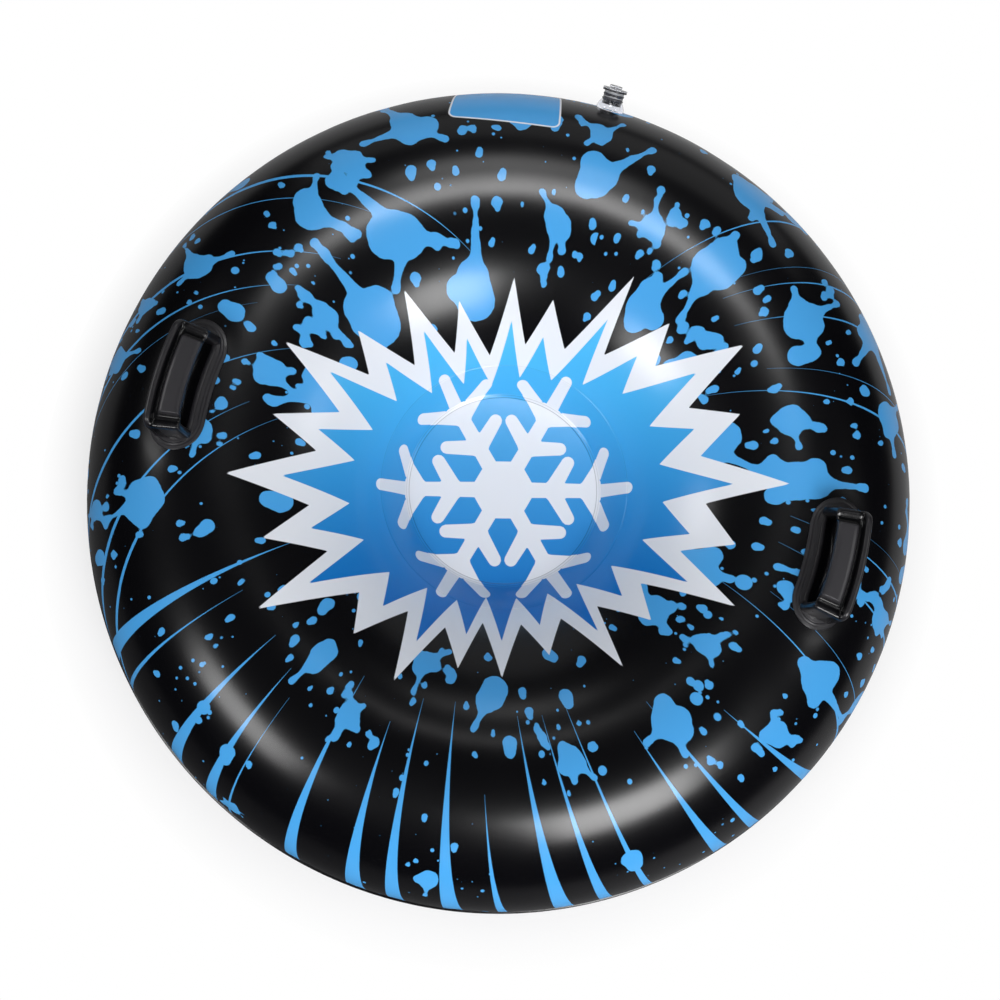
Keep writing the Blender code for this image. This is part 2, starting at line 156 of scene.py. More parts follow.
tilt_axis = Vector((-math.sin(TILT_TOWARDS), math.cos(TILT_TOWARDS), 0))
turn = Matrix.Rotation(PICTURE_TURN, 4, "Z") @ Matrix.Rotation(CAMERA_TILT, 4, tilt_axis).inverted()
offset = Vector((*AIM_OFF, 0)) * RING_RADIUS + Vector((0, 0, CAMERA_DISTANCE))
camera = placed("camera", bpy.data.cameras.new("camera"))
camera.matrix_world = Matrix.Translation((0, 0, MIDDLE)) @ turn @ Matrix.Translation(offset)
camera.data.sensor_width = SENSOR
camera.data.lens = SENSOR * FOCAL_SHARE
bpy.context.scene.camera = camera
print("camera at", [round(v, 3) for v in camera.matrix_world.translation])

# %% [markdown]
# ## Shader maths as plain expressions
#
# A node tree is easier to read as a sum than as a web. `Socket` wraps one output, and Python's own operators
# add the Math nodes. Everything else goes through `NodeTree.node`, which takes the node's type, its settings
# and what feeds its sockets. The few kinds that come often have short names of their own on top of it.


# %% Sockets
class Socket:
    """One output of a node. Adding, multiplying and so on make Math nodes."""

    def __init__(self, finish, output):
        self.finish, self.output = finish, output

    def maths(self, operation, first, second=0.0):
        return self.finish.node("ShaderNodeMath", {"operation": operation}, {0: first, 1: second})

    def sibling(self, name):
        """Another output of the same node."""
        return Socket(self.finish, self.output.node.outputs[name])

    def __add__(self, other):
        return self.maths("ADD", self, other)

    def __sub__(self, other):
        return self.maths("SUBTRACT", self, other)

    def __rsub__(self, other):
        return self.maths("SUBTRACT", other, self)

    def __mul__(self, other):
        return self.maths("MULTIPLY", self, other)

    def __truediv__(self, other):
        return self.maths("DIVIDE", self, other)

    __radd__, __rmul__ = __add__, __mul__


class NodeTree:
    """One way to add nodes, for a material's tree or the world's."""

    def __init__(self, tree):
        self.tree = tree

    def node(self, kind, settings=None, sockets=None, output=0):
        made = self.tree.nodes.new(kind)
        for name, value in (settings or {}).items():
            setattr(made, name, value)
        by_id = {socket.identifier: socket for socket in made.inputs}
        for key, value in (sockets or {}).items():
            socket = by_id.get(key) or made.inputs[key]
            if isinstance(value, Socket):
                self.tree.links.new(value.output, socket)
            else:
                socket.default_value = value
        outputs = {socket.identifier: socket for socket in made.outputs}
        return Socket(self, outputs.get(output) or made.outputs[output])

    def attribute(self, name, output="Fac"):
        return self.node("ShaderNodeAttribute", {"attribute_name": name}, output=output)

    def position(self):
        return self.node("ShaderNodeNewGeometry", output="Position")

    def length(self, vector):
        return self.node("ShaderNodeVectorMath", {"operation": "LENGTH"}, {0: vector}, output="Value")

    def along(self, vector, way):
        """How far a vector goes one way."""
        sockets = {0: vector, 1: way}
        return self.node("ShaderNodeVectorMath", {"operation": "DOT_PRODUCT"}, sockets, output="Value")

    def clamp(self, value):
        return self.node("ShaderNodeClamp", {}, {"Value": value})

    def noise(self, place, scale, detail=2.0):
        sockets = {"Vector": place, "Scale": scale, "Detail": detail, "Roughness": 0.5}
        return self.node("ShaderNodeTexNoise", {}, sockets, output="Fac")

    def dents(self, strength, distance, height):
        """A normal for small unevenness."""
        return self.node("ShaderNodeBump", {}, {"Strength": strength, "Distance": distance, "Height": height})

    def mix(self, share, first, second):
        """One colour over another."""
        settings = {"data_type": "RGBA", "clamp_factor": True}
        sockets = {"Factor_Float": share, "A_Color": first, "B_Color": second}
        return self.node("ShaderNodeMix", settings, sockets, output="Result_Color")


print("a socket takes + - * and / with numbers and other sockets")

# %% [markdown]
# A finish is a material with one Principled shader. Constants go in when it is made, and `feed` links what
# changes over the surface. Colours are given as they look in a picture.


# %% Finishes and inks
class Finish(NodeTree):
    """A material with its Principled shader."""

    def __init__(self, name, **constants):
        self.material = bpy.data.materials.new(name)
        self.material.use_nodes = True
        super().__init__(self.material.node_tree)
        self.shader = self.tree.nodes["Principled BSDF"]
        for socket, value in constants.items():
            self.shader.inputs[socket.replace("_", " ")].default_value = value

    def feed(self, **sockets):
        """Links what changes over the surface to the Principled shader."""
        for name, value in sockets.items():
            self.tree.links.new(value.output, self.shader.inputs[name.replace("_", " ")])
        return self.material


def colour(red, green, blue):
    """A picture colour, 0 to 255, as the linear colour that a shader takes."""
    shares = (value / 255 for value in (red, green, blue))
    return (*(s / 12.92 if s <= 0.04045 else ((s + 0.055) / 1.055) ** 2.4 for s in shares), 1.0)


BLUE, WHITE, BLACK = colour(78, 171, 240), colour(240, 244, 252), colour(8, 8, 11)
LIGHT_BLUE, DEEP_BLUE = colour(84, 196, 255), colour(6, 114, 204)
print("ink blue", [round(v, 3) for v in BLUE[:3]])

# %% [markdown]
# ## What shapes the print
#
# The print is flat ink: black, one blue and one white, with crisp edges. Crisp edges that still follow a
# curved skin are best described by distance: each vertex of the skin stores how far it is from the edge of
# the shape, less than zero inside, and the shader draws the edge where the value passes zero.
#
# The shapes are generic ones from formulas: a pointed burst round the seat, a six-armed snowflake on the
# floor, and spray with splats and streaks. They are laid out on the flat sheet.


# %% Distances on the flat sheet
def to_segment(points, start, end, start_radius=0.0, end_radius=0.0):
    """Distance of each point from a tapered stroke."""
    start, end = np.asarray(start, float), np.asarray(end, float)
    along = end - start
    share = np.clip((points - start) @ along / max(along @ along, 1e-12), 0, 1)
    away = np.linalg.norm(points - start - share[:, None] * along, axis=1)
    return away - (start_radius + (end_radius - start_radius) * share)


def to_polygon(points, corners):
    """Distance of each point from a closed outline, less than zero inside."""
    nearest = np.full(len(points), np.inf)
    inside = np.zeros(len(points), bool)
    for a, b in zip(corners, np.roll(corners, -1, axis=0)):
        nearest = np.minimum(nearest, to_segment(points, a, b))
        crosses = (a[1] > points[:, 1]) != (b[1] > points[:, 1])
        run = (b[0] - a[0]) / (b[1] - a[1] if b[1] != a[1] else 1e-12)
        inside ^= crosses & (points[:, 0] < a[0] + (points[:, 1] - a[1]) * run)
    return np.where(inside, -nearest, nearest)


def around(angle, distance):
    return np.array([math.cos(angle), math.sin(angle)]) * distance


print("10 mm off a stroke:", to_segment(np.array([[0.5, 10 * MM]]), (0, 0), (1, 0)))

# %% [markdown]
# The burst is two star outlines, one inside the other. The outer one is white and the inner one blue, so the
# white shows as a pointed border. It is wider than it is tall, long and short points take turns, and a little
# seeded variation keeps the border from looking stamped.

# %% Burst and snowflake
BURST_POINTS = 24
BURST_TURN = PICTURE_TURN + math.radians(6)  # of the wide way, from the X axis
# Distance and how much more of it there is the wide way, for the points and then for the notches between them
BURST_EDGE = ((292 * MM, 0.15), (220 * MM, 0.19))
CORE_EDGE = ((240 * MM, 0.16), (172 * MM, 0.22))
TURN_ABOUT = 0.05  # how much longer and shorter the points are in turn


def star(edge, seed):
    vary = np.random.default_rng(seed)
    corners = []
    for i in range(BURST_POINTS):
        for half, (reach, stretch) in zip((0, 0.5), edge):
            angle = 2 * math.pi * (i + half + vary.uniform(-0.1, 0.1)) / BURST_POINTS
            wide = 1 + stretch * math.cos(2 * (angle - BURST_TURN))
            turn_about = 1 + (TURN_ABOUT if i % 2 else -TURN_ABOUT) * (half == 0)
            corners.append(around(angle, reach * wide * turn_about * vary.uniform(0.96, 1.04)))
    return np.array(corners)


def snowflake(points):
    """Six arms, each with two pairs of side branches and a small hexagon round the middle."""
    arm, stroke, tip = 158 * MM, 9.5 * MM, 7.5 * MM
    angle = np.arctan2(points[:, 1], points[:, 0]) - math.radians(15)
    sector = math.pi / 3
    folded = np.abs((angle + sector / 2) % sector - sector / 2)
    reach = np.linalg.norm(points, axis=1)
    local = np.stack([reach * np.cos(folded), reach * np.sin(folded)], axis=1)
    strokes = [to_segment(local, (0, 0), (arm, 0), stroke, tip)]
    for root, length in ((0.36, 38 * MM), (0.62, 52 * MM)):
        start = np.array([arm * root, 0])
        strokes.append(to_segment(local, start, start + around(sector, length), stroke, tip))
    inner = 30 * MM
    strokes.append(to_segment(local, (inner, 0), around(sector / 2, inner * 0.87), tip, tip))
    return np.min(strokes, axis=0)


outer_star, inner_star = star(BURST_EDGE, 3), star(CORE_EDGE, 3)
print(len(outer_star), "corners in each star")

# %% [markdown]
# A splat of paint is a few large drops that run together, with arms that end in a small drop, and some drops
# that got away. Half of the small ones are plain ovals. The drops join with soft necks if their distances are
# blended, not just compared.

# %% Splats
# How many splats, their size, and how far apart they stay
SPLAT_SIZES = ((25, 33 * MM, 0.088), (46, 17 * MM, 0.045), (120, 7 * MM, 0.02))
NECK = 3 * MM  # how softly drops run together


def splat_places(vary):
    """Centres and sizes of the splats, the large ones first. Few lie where the wide streaks are."""
    found = []
    for count, size, apart in SPLAT_SIZES:
        made = 0
        while made < count:
            angle = vary.uniform(0, 2 * math.pi)
            centre = around(angle + PICTURE_TURN, 0.23 + 0.34 * vary.uniform() ** 1.3)
            far_out = np.linalg.norm(centre) > 0.36
            among_streaks = math.radians(195) < angle < math.radians(320) and far_out
            if among_streaks and (size > 20 * MM or vary.uniform() < 0.6):
                continue
            if all(np.linalg.norm(centre - other) > max(apart, near * 1.3) for other, near in found):
                found.append((centre, size * vary.uniform(0.75, 1.3)))
                made += 1
    return found


def splat_strokes(centre, size, vary):
    """Tapered strokes (start, end, start radius, end radius) of one splat."""
    outwards = math.atan2(centre[1], centre[0])
    body = centre + around(outwards + vary.normal(0, 0.5), size * 0.6)
    strokes = [(centre, body, size * 0.62, size * 0.48)]
    if size < 9 * MM or size < 24 * MM and vary.uniform() < 0.5:
        return strokes  # a plain oval drop
    for _ in range(int(vary.integers(2, 5))):
        lobe = centre + around(vary.uniform(0, 2 * math.pi), size * vary.uniform(0.45, 0.85))
        strokes.append((lobe, centre, size * vary.uniform(0.22, 0.42), size * 0.4))
    for i in range(int(vary.integers(1, 4))):
        angle = outwards + vary.normal(0, 0.4) + (vary.uniform(0.8, 5.4) if i else 0)
        tip = centre + around(angle, size * vary.uniform(1.1, 2.0 if i else 2.6))
        strokes.append((centre, tip, size * 0.3, size * 0.04))
        strokes.append((tip, tip + around(angle, size * 0.12), size * 0.1, size * 0.13))
    for _ in range(int(vary.integers(3, 8))):
        drop = centre + around(vary.uniform(0, 2 * math.pi), size * vary.uniform(1.4, 2.6))
        end = drop + around(outwards, size * 0.12)
        strokes.append((drop, end, size * 0.1, size * vary.uniform(0.1, 0.22)))
    return strokes


def splats(points):
    """Distance from the nearest splat, with soft necks between drops. Only near points are worked out."""
    vary = np.random.default_rng(11)
    total = np.zeros(len(points))
    for centre, size in splat_places(vary):
        near = np.linalg.norm(points - centre, axis=1) < 3 * size + 25 * MM
        for stroke in splat_strokes(centre, size, vary):
            total[near] += np.exp(np.clip(-to_segment(points[near], *stroke) / NECK, -40, 40))
    return -NECK * np.log(np.maximum(total, 1e-9))


print(sum(count for count, _, _ in SPLAT_SIZES), "splats")

# %% [markdown]
# The bare panel on the outer slope is a rectangle with round corners, printed a little askew. Its distance
# has a short formula, so it needs no outline.

# %% Panel
PANEL_ANGLE = math.radians(105.5)
PANEL_MIDDLE = FLAT_RADIUS - 104 * MM
PANEL_WIDE, PANEL_TALL, PANEL_CORNER = 142 * MM, 88 * MM, 10 * MM
PANEL_TURN = math.radians(7)


def panel(points):
    """Distance from the edge of the bare panel."""
    out = around(PANEL_ANGLE, 1)
    along, beyond = points @ np.array([-out[1], out[0]]), points @ out - PANEL_MIDDLE
    cos, sin = around(PANEL_TURN, 1)
    local = np.stack([along * cos + beyond * sin, beyond * cos - along * sin], axis=1)
    past = np.abs(local) - np.array([PANEL_WIDE, PANEL_TALL]) / 2 + PANEL_CORNER
    return np.linalg.norm(np.maximum(past, 0), axis=1) + np.minimum(past.max(axis=1), 0) - PANEL_CORNER


print("the panel's middle is", -panel(np.array([around(PANEL_ANGLE, PANEL_MIDDLE)])), "from its edge")

# %% [markdown]
# ## How the skin departs from the perfect curve
#
# A perfect surface looks like a drawing of a tube. The real skin has small pleats where the flat sheet was
# gathered into the seam, a pressed band at each weld, a fine step over the edge of the second disc, dents
# round the welded handles and a slow unevenness all over. Each is a height over the perfect curve, in real
# size, and they add up. None of them rises above the CAD model's own skin by more than a fraction of a
# millimetre.
#
# Along each relief line a smooth hump or a smooth step does the work, so no edge is sharper than film can be.

# %% Skin relief
HANDLE_FLAT = FLAT_RADIUS - 193 * MM  # middle of a handle, from the middle of the flat sheet
HANDLE_RADIUS = float(profile(HANDLE_FLAT)[0])
BASE_LENGTH, BASE_WIDTH = 147 * MM, 61 * MM
# Depth, and how far from the seam it reaches
PLEATS = (1.5 * MM, 17 * MM)
FOLDS = (0.55 * MM, 60 * MM)
# Place past the weld, and depth or height
WELD_EDGES = ((-1.2 * MM, 0.5 * MM), (2.6 * MM, 0.38 * MM))
WELD_BEAD = (5 * MM, 0.2 * MM)
DOUBLER_STEP = (0.5 * MM, 14 * MM)  # depth, and how far outwards it fades
SLOW_WAVES = (0.35 * MM, 0.12 * MM)
SINK = 0.3 * MM  # keeps the slow waves under the CAD model's skin
HANDLE_DENT = 0.2 * MM


def waves(angle, seed, lowest, highest, count):
    """A sum of sine waves round the ring, from -1 to 1, that closes on itself."""
    vary = np.random.default_rng(seed)
    total = 0
    for _ in range(count):
        total = total + np.sin(int(vary.integers(lowest, highest)) * angle + vary.uniform(0, 2 * math.pi))
    return total / count


def bump(value, width):
    """A smooth hump of height 1 where the value is 0."""
    return np.exp(-((value / width) ** 2))


def step(value, width):
    """0 to 1 as the value passes 0."""
    return 0.5 + 0.5 * np.tanh(value / width)


def relief(angle, flat):
    """Height over the perfect curve, for arrays of angles and distances on the flat sheet."""
    from_seam = FLAT_RADIUS - flat
    pleats = np.abs(waves(angle, 1, 46, 118, 5)) ** 0.7 + 0.5 * waves(angle, 2, 20, 60, 4)
    deep, reach = PLEATS
    height = -deep * np.clip(pleats, 0, None) * np.exp(-np.clip(from_seam, 0, None) / reach)
    deep, reach = FOLDS
    height -= deep * np.clip(waves(angle, 3, 14, 40, 5), 0, None) * np.exp(-from_seam / reach)
    height *= step(from_seam - 3 * MM, 1.5 * MM)
    for place, deep in WELD_EDGES:
        height -= deep * bump(flat - WELD_RADIUS - place, 0.95 * MM)
    place, high = WELD_BEAD
    height += high * bump(flat - WELD_RADIUS - place, 1.4 * MM)
    past_edge = flat - DOUBLER_RADIUS
    deep, reach = DOUBLER_STEP
    height -= deep * step(past_edge, 0.6 * MM) * np.exp(-np.clip(past_edge, 0, None) / reach)
    height *= np.where(flat < 20 * MM, flat / (20 * MM), 1)
    slow = SLOW_WAVES[0] * waves(angle, 4, 2, 7, 4) + SLOW_WAVES[1] * waves(angle, 5, 9, 19, 4)
    height += slow * step(flat - 150 * MM, 30 * MM) * step(from_seam - 40 * MM, 20 * MM) - SINK
    for side in (0, math.pi):
        along = ((angle - side + math.pi) % (2 * math.pi) - math.pi) * HANDLE_RADIUS
        straight = np.clip(np.abs(along) - (BASE_LENGTH - BASE_WIDTH) / 2, 0, None)
        away = np.hypot(straight, flat - HANDLE_FLAT) - BASE_WIDTH / 2
        height -= HANDLE_DENT * bump(away - 4 * MM, 9 * MM)
    return height


near_seam = relief(np.linspace(0, 0.5, 6), FLAT_RADIUS - 8 * MM)
print("pleats at the seam:", np.round(near_seam / MM, 2), "mm")

# %% [markdown]
# ## Meshes from rings of points
#
# Every piece here is a stack of rings, which are closed rows of points. One function joins them with quads
# and closes the ends, and a subdivision surface may round the shape. Faces are shaded smooth but for edges
# that bend by more than a given angle.


# %% Mesh helpers
def grid_faces(row_count, round_count):
    """Quads between rows of points that close round the ring."""
    first = np.arange(row_count - 1)[:, None] * round_count + np.arange(round_count)
    ahead = np.roll(first, -1, axis=1)
    return np.stack([first, ahead, ahead + round_count, first + round_count], axis=-1).reshape(-1, 4)


def circle(angle, radius, height):
    """A level ring of points."""
    return np.column_stack([radius * np.cos(angle), radius * np.sin(angle), np.full(len(angle), height)])


def mesh_object(name, points, faces, sharp=math.radians(40)):
    """A mesh piece, shaded smooth but for sharp edges, with its faces turned outwards."""
    mesh = bpy.data.meshes.new(name)
    mesh.from_pydata([tuple(p) for p in points], [], [tuple(f) for f in faces])
    shape = bmesh.new()
    shape.from_mesh(mesh)
    bmesh.ops.recalc_face_normals(shape, faces=shape.faces)
    shape.to_mesh(mesh)
    shape.free()
    mesh.shade_smooth()
    mesh.set_sharp_from_angle(angle=sharp)
    return placed(name, mesh)


def loft(name, rings, levels=2, caps=True, sharp=math.radians(180)):
    """A closed skin through rings of points, smoothed by a subdivision surface.

    With caps, the first and the last ring end in a fan of triangles. Without, the last joins on to the first.
    """
    count = len(rings[0])
    points = np.concatenate(rings)
    faces = grid_faces(len(rings), count).tolist()
    last, centre = len(points) - count, len(points)
    if caps:
        points = np.concatenate([points, [rings[0].mean(axis=0)], [rings[-1].mean(axis=0)]])
    for i in range(count):
        ahead = (i + 1) % count
        if caps:
            faces += [(centre, ahead, i), (centre + 1, last + i, last + ahead)]
        else:
            faces.append((last + i, last + ahead, ahead, i))
    made = mesh_object(name, points, faces, sharp)
    if levels:
        smooth = made.modifiers.new("smooth", "SUBSURF")
        smooth.levels = smooth.render_levels = levels
    return made


print("4 rings of 8 points need", len(grid_faces(4, 8)), "quads")

# %% [markdown]
# ## The two sheets
#
# Each sheet is one closed skin: its outer face in fine steps, its inner face in coarse ones, and the welded
# lip between them. The rows lie closer together where something small happens. The bottom sheet is the same
# shape turned over, and the ground presses its lowest line flat. A second, smaller disc lies between the two
# at the floor and under the top sheet on the wall, where its edge shows through.
#
# Cloth simulation could blow the sheets up, but the curve above is already the shape that it would find.

# %% Sheets
def rows(*spans):
    """Distances along the flat sheet from (start, end, spacing) spans."""
    parts = [np.arange(start, end, spacing) for start, end, spacing in spans]
    return np.concatenate(parts)


OUTER_ROWS = rows(
    (3 * MM, 100 * MM, 4 * MM),
    (100 * MM, 107 * MM, 1.2 * MM),
    (107 * MM, 120 * MM, 0.5 * MM),
    (120 * MM, 153 * MM, 2.4 * MM),
    (153 * MM, 161 * MM, 0.5 * MM),
    (161 * MM, FLAT_RADIUS - 30 * MM, 2.3 * MM),
    (FLAT_RADIUS - 30 * MM, FLAT_RADIUS - 1 * MM, 1.5 * MM),
)
INNER_ROWS = rows((FLAT_RADIUS - 475 * MM, FLAT_RADIUS - 5 * MM, 15 * MM))
FLOOR_ROWS = np.array([108, 104, 99, 93, 85, 74, 60, 35, 3]) * MM
FLOOR_RISE = 0.6 * MM  # a little air is trapped between the floor's two films
BETWEEN = 0.15 * MM  # from the middle plane to each film
FINE_ROUND = 960


def bulge(flat):
    """How far each film of the floor stands out. It drops steeply only near the weld."""
    return FLOOR_RISE * (1 - np.clip(flat / WELD_RADIUS, 0, 1) ** 6)


def sheet_object(name, round_count, outer_rows, turned_over):
    """One sheet. Both of its faces end on the axis in a fan."""
    angle = full_turn(round_count)
    loops = []
    for flat in outer_rows:
        loop = on_skin(angle, flat, relief(angle, np.full(round_count, flat)))
        loops.append(loop + (0, 0, bulge(flat)))
    lip = (
        (0.2 * MM, FLOOR - 0.5 * MM),
        (1.5 * MM, 1.0 * MM),
        (SEAM_LIP - 0.4 * MM, 1.0 * MM),
        (SEAM_LIP, 0.7 * MM),
        (SEAM_LIP, 0.2 * MM),
        (SHEET, BETWEEN),
        (-SHEET, BETWEEN),
    )
    loops += [circle(angle, RING_RADIUS + out, MIDDLE + up) for out, up in lip]
    loops += [on_skin(angle, flat, np.full(round_count, -2.2 * SHEET)) for flat in INNER_ROWS[::-1]]
    loops += [circle(angle, flat, MIDDLE + BETWEEN + bulge(flat)) for flat in FLOOR_ROWS]
    if turned_over:
        ground = (-1, -1, 0)  # nothing lies lower
        loops = [np.maximum(loop * (1, 1, -1) + (0, 0, 2 * MIDDLE), ground) for loop in loops]
    return loft(name, loops, levels=0, sharp=math.radians(40))


def doubler_object():
    """The second disc. Its wall part hangs under the top sheet by three times the sheet's thickness."""
    angle = full_turn(240)
    wall_rows = np.linspace(WELD_RADIUS + 8 * MM, DOUBLER_RADIUS, 8)
    over, under = (
        [circle(angle, flat, MIDDLE + up * 0.1 * MM) for flat in FLOOR_ROWS[::-1]]
        + [on_skin(angle, flat, (up * 0.4 - 3) * SHEET) for flat in wall_rows]
        for up in (1, -1)
    )
    return loft("doubler_skin", over + under[::-1], levels=0, caps=False, sharp=math.radians(40))


top_skin = sheet_object("top_skin", FINE_ROUND, OUTER_ROWS, False)
bottom_skin = sheet_object("bottom_skin", FINE_ROUND // 3, OUTER_ROWS[::3], True)
doubler_skin = doubler_object()
print("points:", [len(piece.data.vertices) for piece in (top_skin, bottom_skin, doubler_skin)])

# %% [markdown]
# The valve comes through a round hole in the top sheet. A cylinder along the valve's own axis cuts it, as a
# punch would. That axis stands square on the skin, so it leans out by as much as the skin does there.

# %% Valve axis and hole
VALVE_FLAT = FLAT_RADIUS - 66 * MM
VALVE_LEAN = float(profile(VALVE_FLAT)[2])
VALVE_RADIUS = float(profile(VALVE_FLAT)[0])
valve_foot = Vector(on_skin(math.pi / 2, VALVE_FLAT))
VALVE_PLACE = Matrix.Translation(valve_foot) @ Matrix.Rotation(-VALVE_LEAN, 4, "X")
HOLE_RADIUS, PUNCH_DEPTH = 17 * MM, 16 * MM

punch_shape = bmesh.new()
punch_size = {"radius1": HOLE_RADIUS, "radius2": HOLE_RADIUS, "depth": PUNCH_DEPTH}
bmesh.ops.create_cone(punch_shape, cap_ends=True, segments=64, matrix=VALVE_PLACE, **punch_size)
punch_mesh = bpy.data.meshes.new("punch")
punch_shape.to_mesh(punch_mesh)
punch_shape.free()
punch = placed("punch", punch_mesh)
cut = top_skin.modifiers.new("valve hole", "BOOLEAN")
cut.operation, cut.solver, cut.object = "DIFFERENCE", "EXACT", punch
bpy.context.view_layer.update()
holed = bpy.data.meshes.new_from_object(top_skin.evaluated_get(bpy.context.evaluated_depsgraph_get()))
top_skin.modifiers.clear()
top_skin.data = holed
bpy.data.objects.remove(punch)
print("after the cut:", len(holed.vertices), "points")

# %% [markdown]
# The print's distances are worked out after the cut, from where each vertex lies. The angle is plain. The
# distance on the flat sheet comes from the radius over most of the skin, and from the height near the seam,
# where the skin stands upright and the radius hardly changes.

# %% Print distances on the top sheet
def flat_places(mesh):
    """x and y on the flat sheet for every vertex."""
    points = np.empty(len(mesh.vertices) * 3)
    mesh.vertices.foreach_get("co", points)
    points = points.reshape(-1, 3)
    radius, height = np.hypot(points[:, 0], points[:, 1]), points[:, 2] - MIDDLE - FLOOR
    from_radius = np.interp(radius, RADIUS[::-1], ARC[::-1])
    upright = LEAN > math.radians(40)
    from_height = np.interp(height, HEIGHT[upright], ARC[upright])
    steep = (radius > RADIUS[upright].min()) & (radius > RING_RADIUS * 0.9)
    arc = np.where(steep, from_height, from_radius)
    flat = np.where(radius < WELD_RADIUS, radius, FLAT_RADIUS - arc)
    flat = np.where(radius > RING_RADIUS, FLAT_RADIUS + radius - RING_RADIUS, flat)
    return points[:, :2] / np.maximum(radius, 1e-9)[:, None] * flat[:, None]


def store(mesh, name, values):
    kind = "FLOAT" if values.ndim == 1 else "FLOAT_VECTOR"
    layer = mesh.attributes.new(name, kind, "POINT")
    layer.data.foreach_set("value" if values.ndim == 1 else "vector", values.astype(np.float32).ravel())


places = flat_places(top_skin.data)
store(top_skin.data, "sheet_place", np.column_stack([places, np.zeros(len(places))]))
for name, distances in (
    ("burst", to_polygon(places, outer_star)),
    ("core", to_polygon(places, inner_star)),
    ("flake", snowflake(places)),
    ("splats", splats(places)),
    ("panel", panel(places)),
):
    store(top_skin.data, name, distances)
print("print laid on", len(places), "points")

# %% [markdown]
# ## Printed PVC
#
# The sheet is satin, not glossy: a soft light shows in it as a broad band with no sharp edge. The ink lies
# in the surface, so it changes the colour and hardly the gloss. Fine spray is too small for the vertices, so
# the shader draws it from cell noise: each cell holds one drop of its own size, and a slow noise says where
# the spray is thick.


# %% Ink and spray
def inside(distance, soft=0.7 * MM):
    """1 inside a shape and 0 outside, with an edge as soft as ink on film."""
    return distance.finish.clamp(0.5 - distance / soft)


def either(first, second):
    return first.maths("MAXIMUM", first, second)


def separate(cells):
    """A number of its own for each cell of a Voronoi texture. Its sibling Green is another one."""
    return cells.finish.node("ShaderNodeSeparateColor", {}, {"Color": cells.sibling("Color")})


def drops(finish, place, scale, largest, crowd):
    """Round drops of mixed sizes, where crowd is high. One per cell."""
    cells = finish.node("ShaderNodeTexVoronoi", {}, {"Vector": place, "Scale": scale, "Randomness": 0.85})
    pick = separate(cells)
    size = pick * pick * largest * inside(0.55 - crowd, 0.2)
    return inside(cells / scale - size)


# %% [markdown]
# Long streaks run outwards like brush strokes that were flicked off the middle. Each starts as a hair and is
# widest at the seam. The shader draws them too, because their edges are longer than the mesh is fine: the
# ring is cut in slices, a one-dimensional cell noise places one stroke in each, and a stroke ends in a point.

# %% Streaks
# First and last angle from the picture's bottom, how many, widest half width, and lean in radians a metre
STREAK_FANS = (
    (-72, 46, 16, 25 * MM, 0.4),
    (-150, -74, 8, 13 * MM, 2.8),
    (54, 80, 4, 5 * MM, -0.8),
    (98, 140, 6, 6 * MM, -1.2),
)
STREAK_START, STREAK_RUN = 0.25, 0.35  # distance from the middle, and from there to full width


def streaks(finish, place, first, last, count, widest, lean):
    """Strokes that start as a hair by the burst and widen to the seam, each in a slice of its own."""
    down, right = around(PICTURE_TURN - math.pi / 2, 1), around(PICTURE_TURN, 1)
    sideways = finish.along(place, (*right, 0))
    angle = sideways.maths("ARCTAN2", sideways, finish.along(place, (*down, 0)))
    reach = finish.length(place)
    first, last = math.radians(first), math.radians(last)
    slices = (angle - (reach - 0.45) * lean - first) * (count / (last - first))
    sockets = {"W": slices, "Scale": 1, "Randomness": 0.7}
    cell = finish.node("ShaderNodeTexVoronoi", {"voronoi_dimensions": "1D"}, sockets)
    pick = separate(cell)
    share = finish.clamp((reach - pick.sibling("Green") * 0.15 - STREAK_START) / STREAK_RUN)
    half = share.maths("POWER", share, 1.5) * (pick * 0.8 + 0.2) * widest
    away = cell * reach * ((last - first) / count)
    in_fan = inside(slices.maths("ABSOLUTE", slices - count / 2) - count / 2, 0.05)
    return inside(away - half) * in_fan * share.maths("GREATER_THAN", share, 0.02)


# %% [markdown]
# The printed sheet brings it together, from the ink that was laid down first to the last. The blue inside the
# burst pales towards the top, as the print does. Where film lies on film it looks a little darker, and thin
# lines of painted shade lie in the welding tool's two grooves and at the second disc's edge.


# %% Printed sheet
def film(finish, place):
    """The sheet's own gloss: a slow variation and a very fine grain."""
    slow, fine = finish.noise(place, 14.0), finish.noise(place, 900.0, 3.0)
    return {"Roughness": 0.2 + slow * 0.06, "Normal": finish.dents(0.05, 0.2 * MM, fine)}


UPWARDS = (-math.sin(PICTURE_TURN), math.cos(PICTURE_TURN), 0)  # in the picture, across the sheet
PALE_BELOW, PALE_RUN = 0.16, 0.36  # it starts to pale so far below the middle, over this height
PANEL_BORDER = 2.2 * MM
# Lines of painted shade in the weld's two grooves and at the second disc's step, as radius and darkness
GROOVE_SHADE_LINES = (
    (WELD_RADIUS + WELD_EDGES[0][0], 0.45),
    (WELD_RADIUS + WELD_EDGES[1][0], 0.28),
    (DOUBLER_RADIUS + 1 * MM, 0.16),
)
printed = Finish("printed_pvc", Specular_IOR_Level=0.5)
place = printed.attribute("sheet_place", "Vector")
reach = printed.length(place)
wobble = (printed.noise(place, 60.0) - 0.5) * 4 * MM
crowd = printed.noise(place, 9.0, 1.0)
blue_spray = inside(printed.attribute("splats") + wobble)
for scale, largest in ((34.0, 11 * MM), (85.0, 4.2 * MM)):
    blue_spray = either(blue_spray, drops(printed, place, scale, largest, crowd))
for fan in STREAK_FANS:
    blue_spray = either(blue_spray, streaks(printed, place, *fan))
blue_spray = blue_spray * inside(reach - FLAT_RADIUS + 2 * MM)  # the welded lip stays black
paleness = printed.clamp((printed.along(place, UPWARDS) + PALE_BELOW) / PALE_RUN)
core_blue = printed.mix(paleness, DEEP_BLUE, LIGHT_BLUE)
ink = printed.mix(blue_spray, BLACK, BLUE)
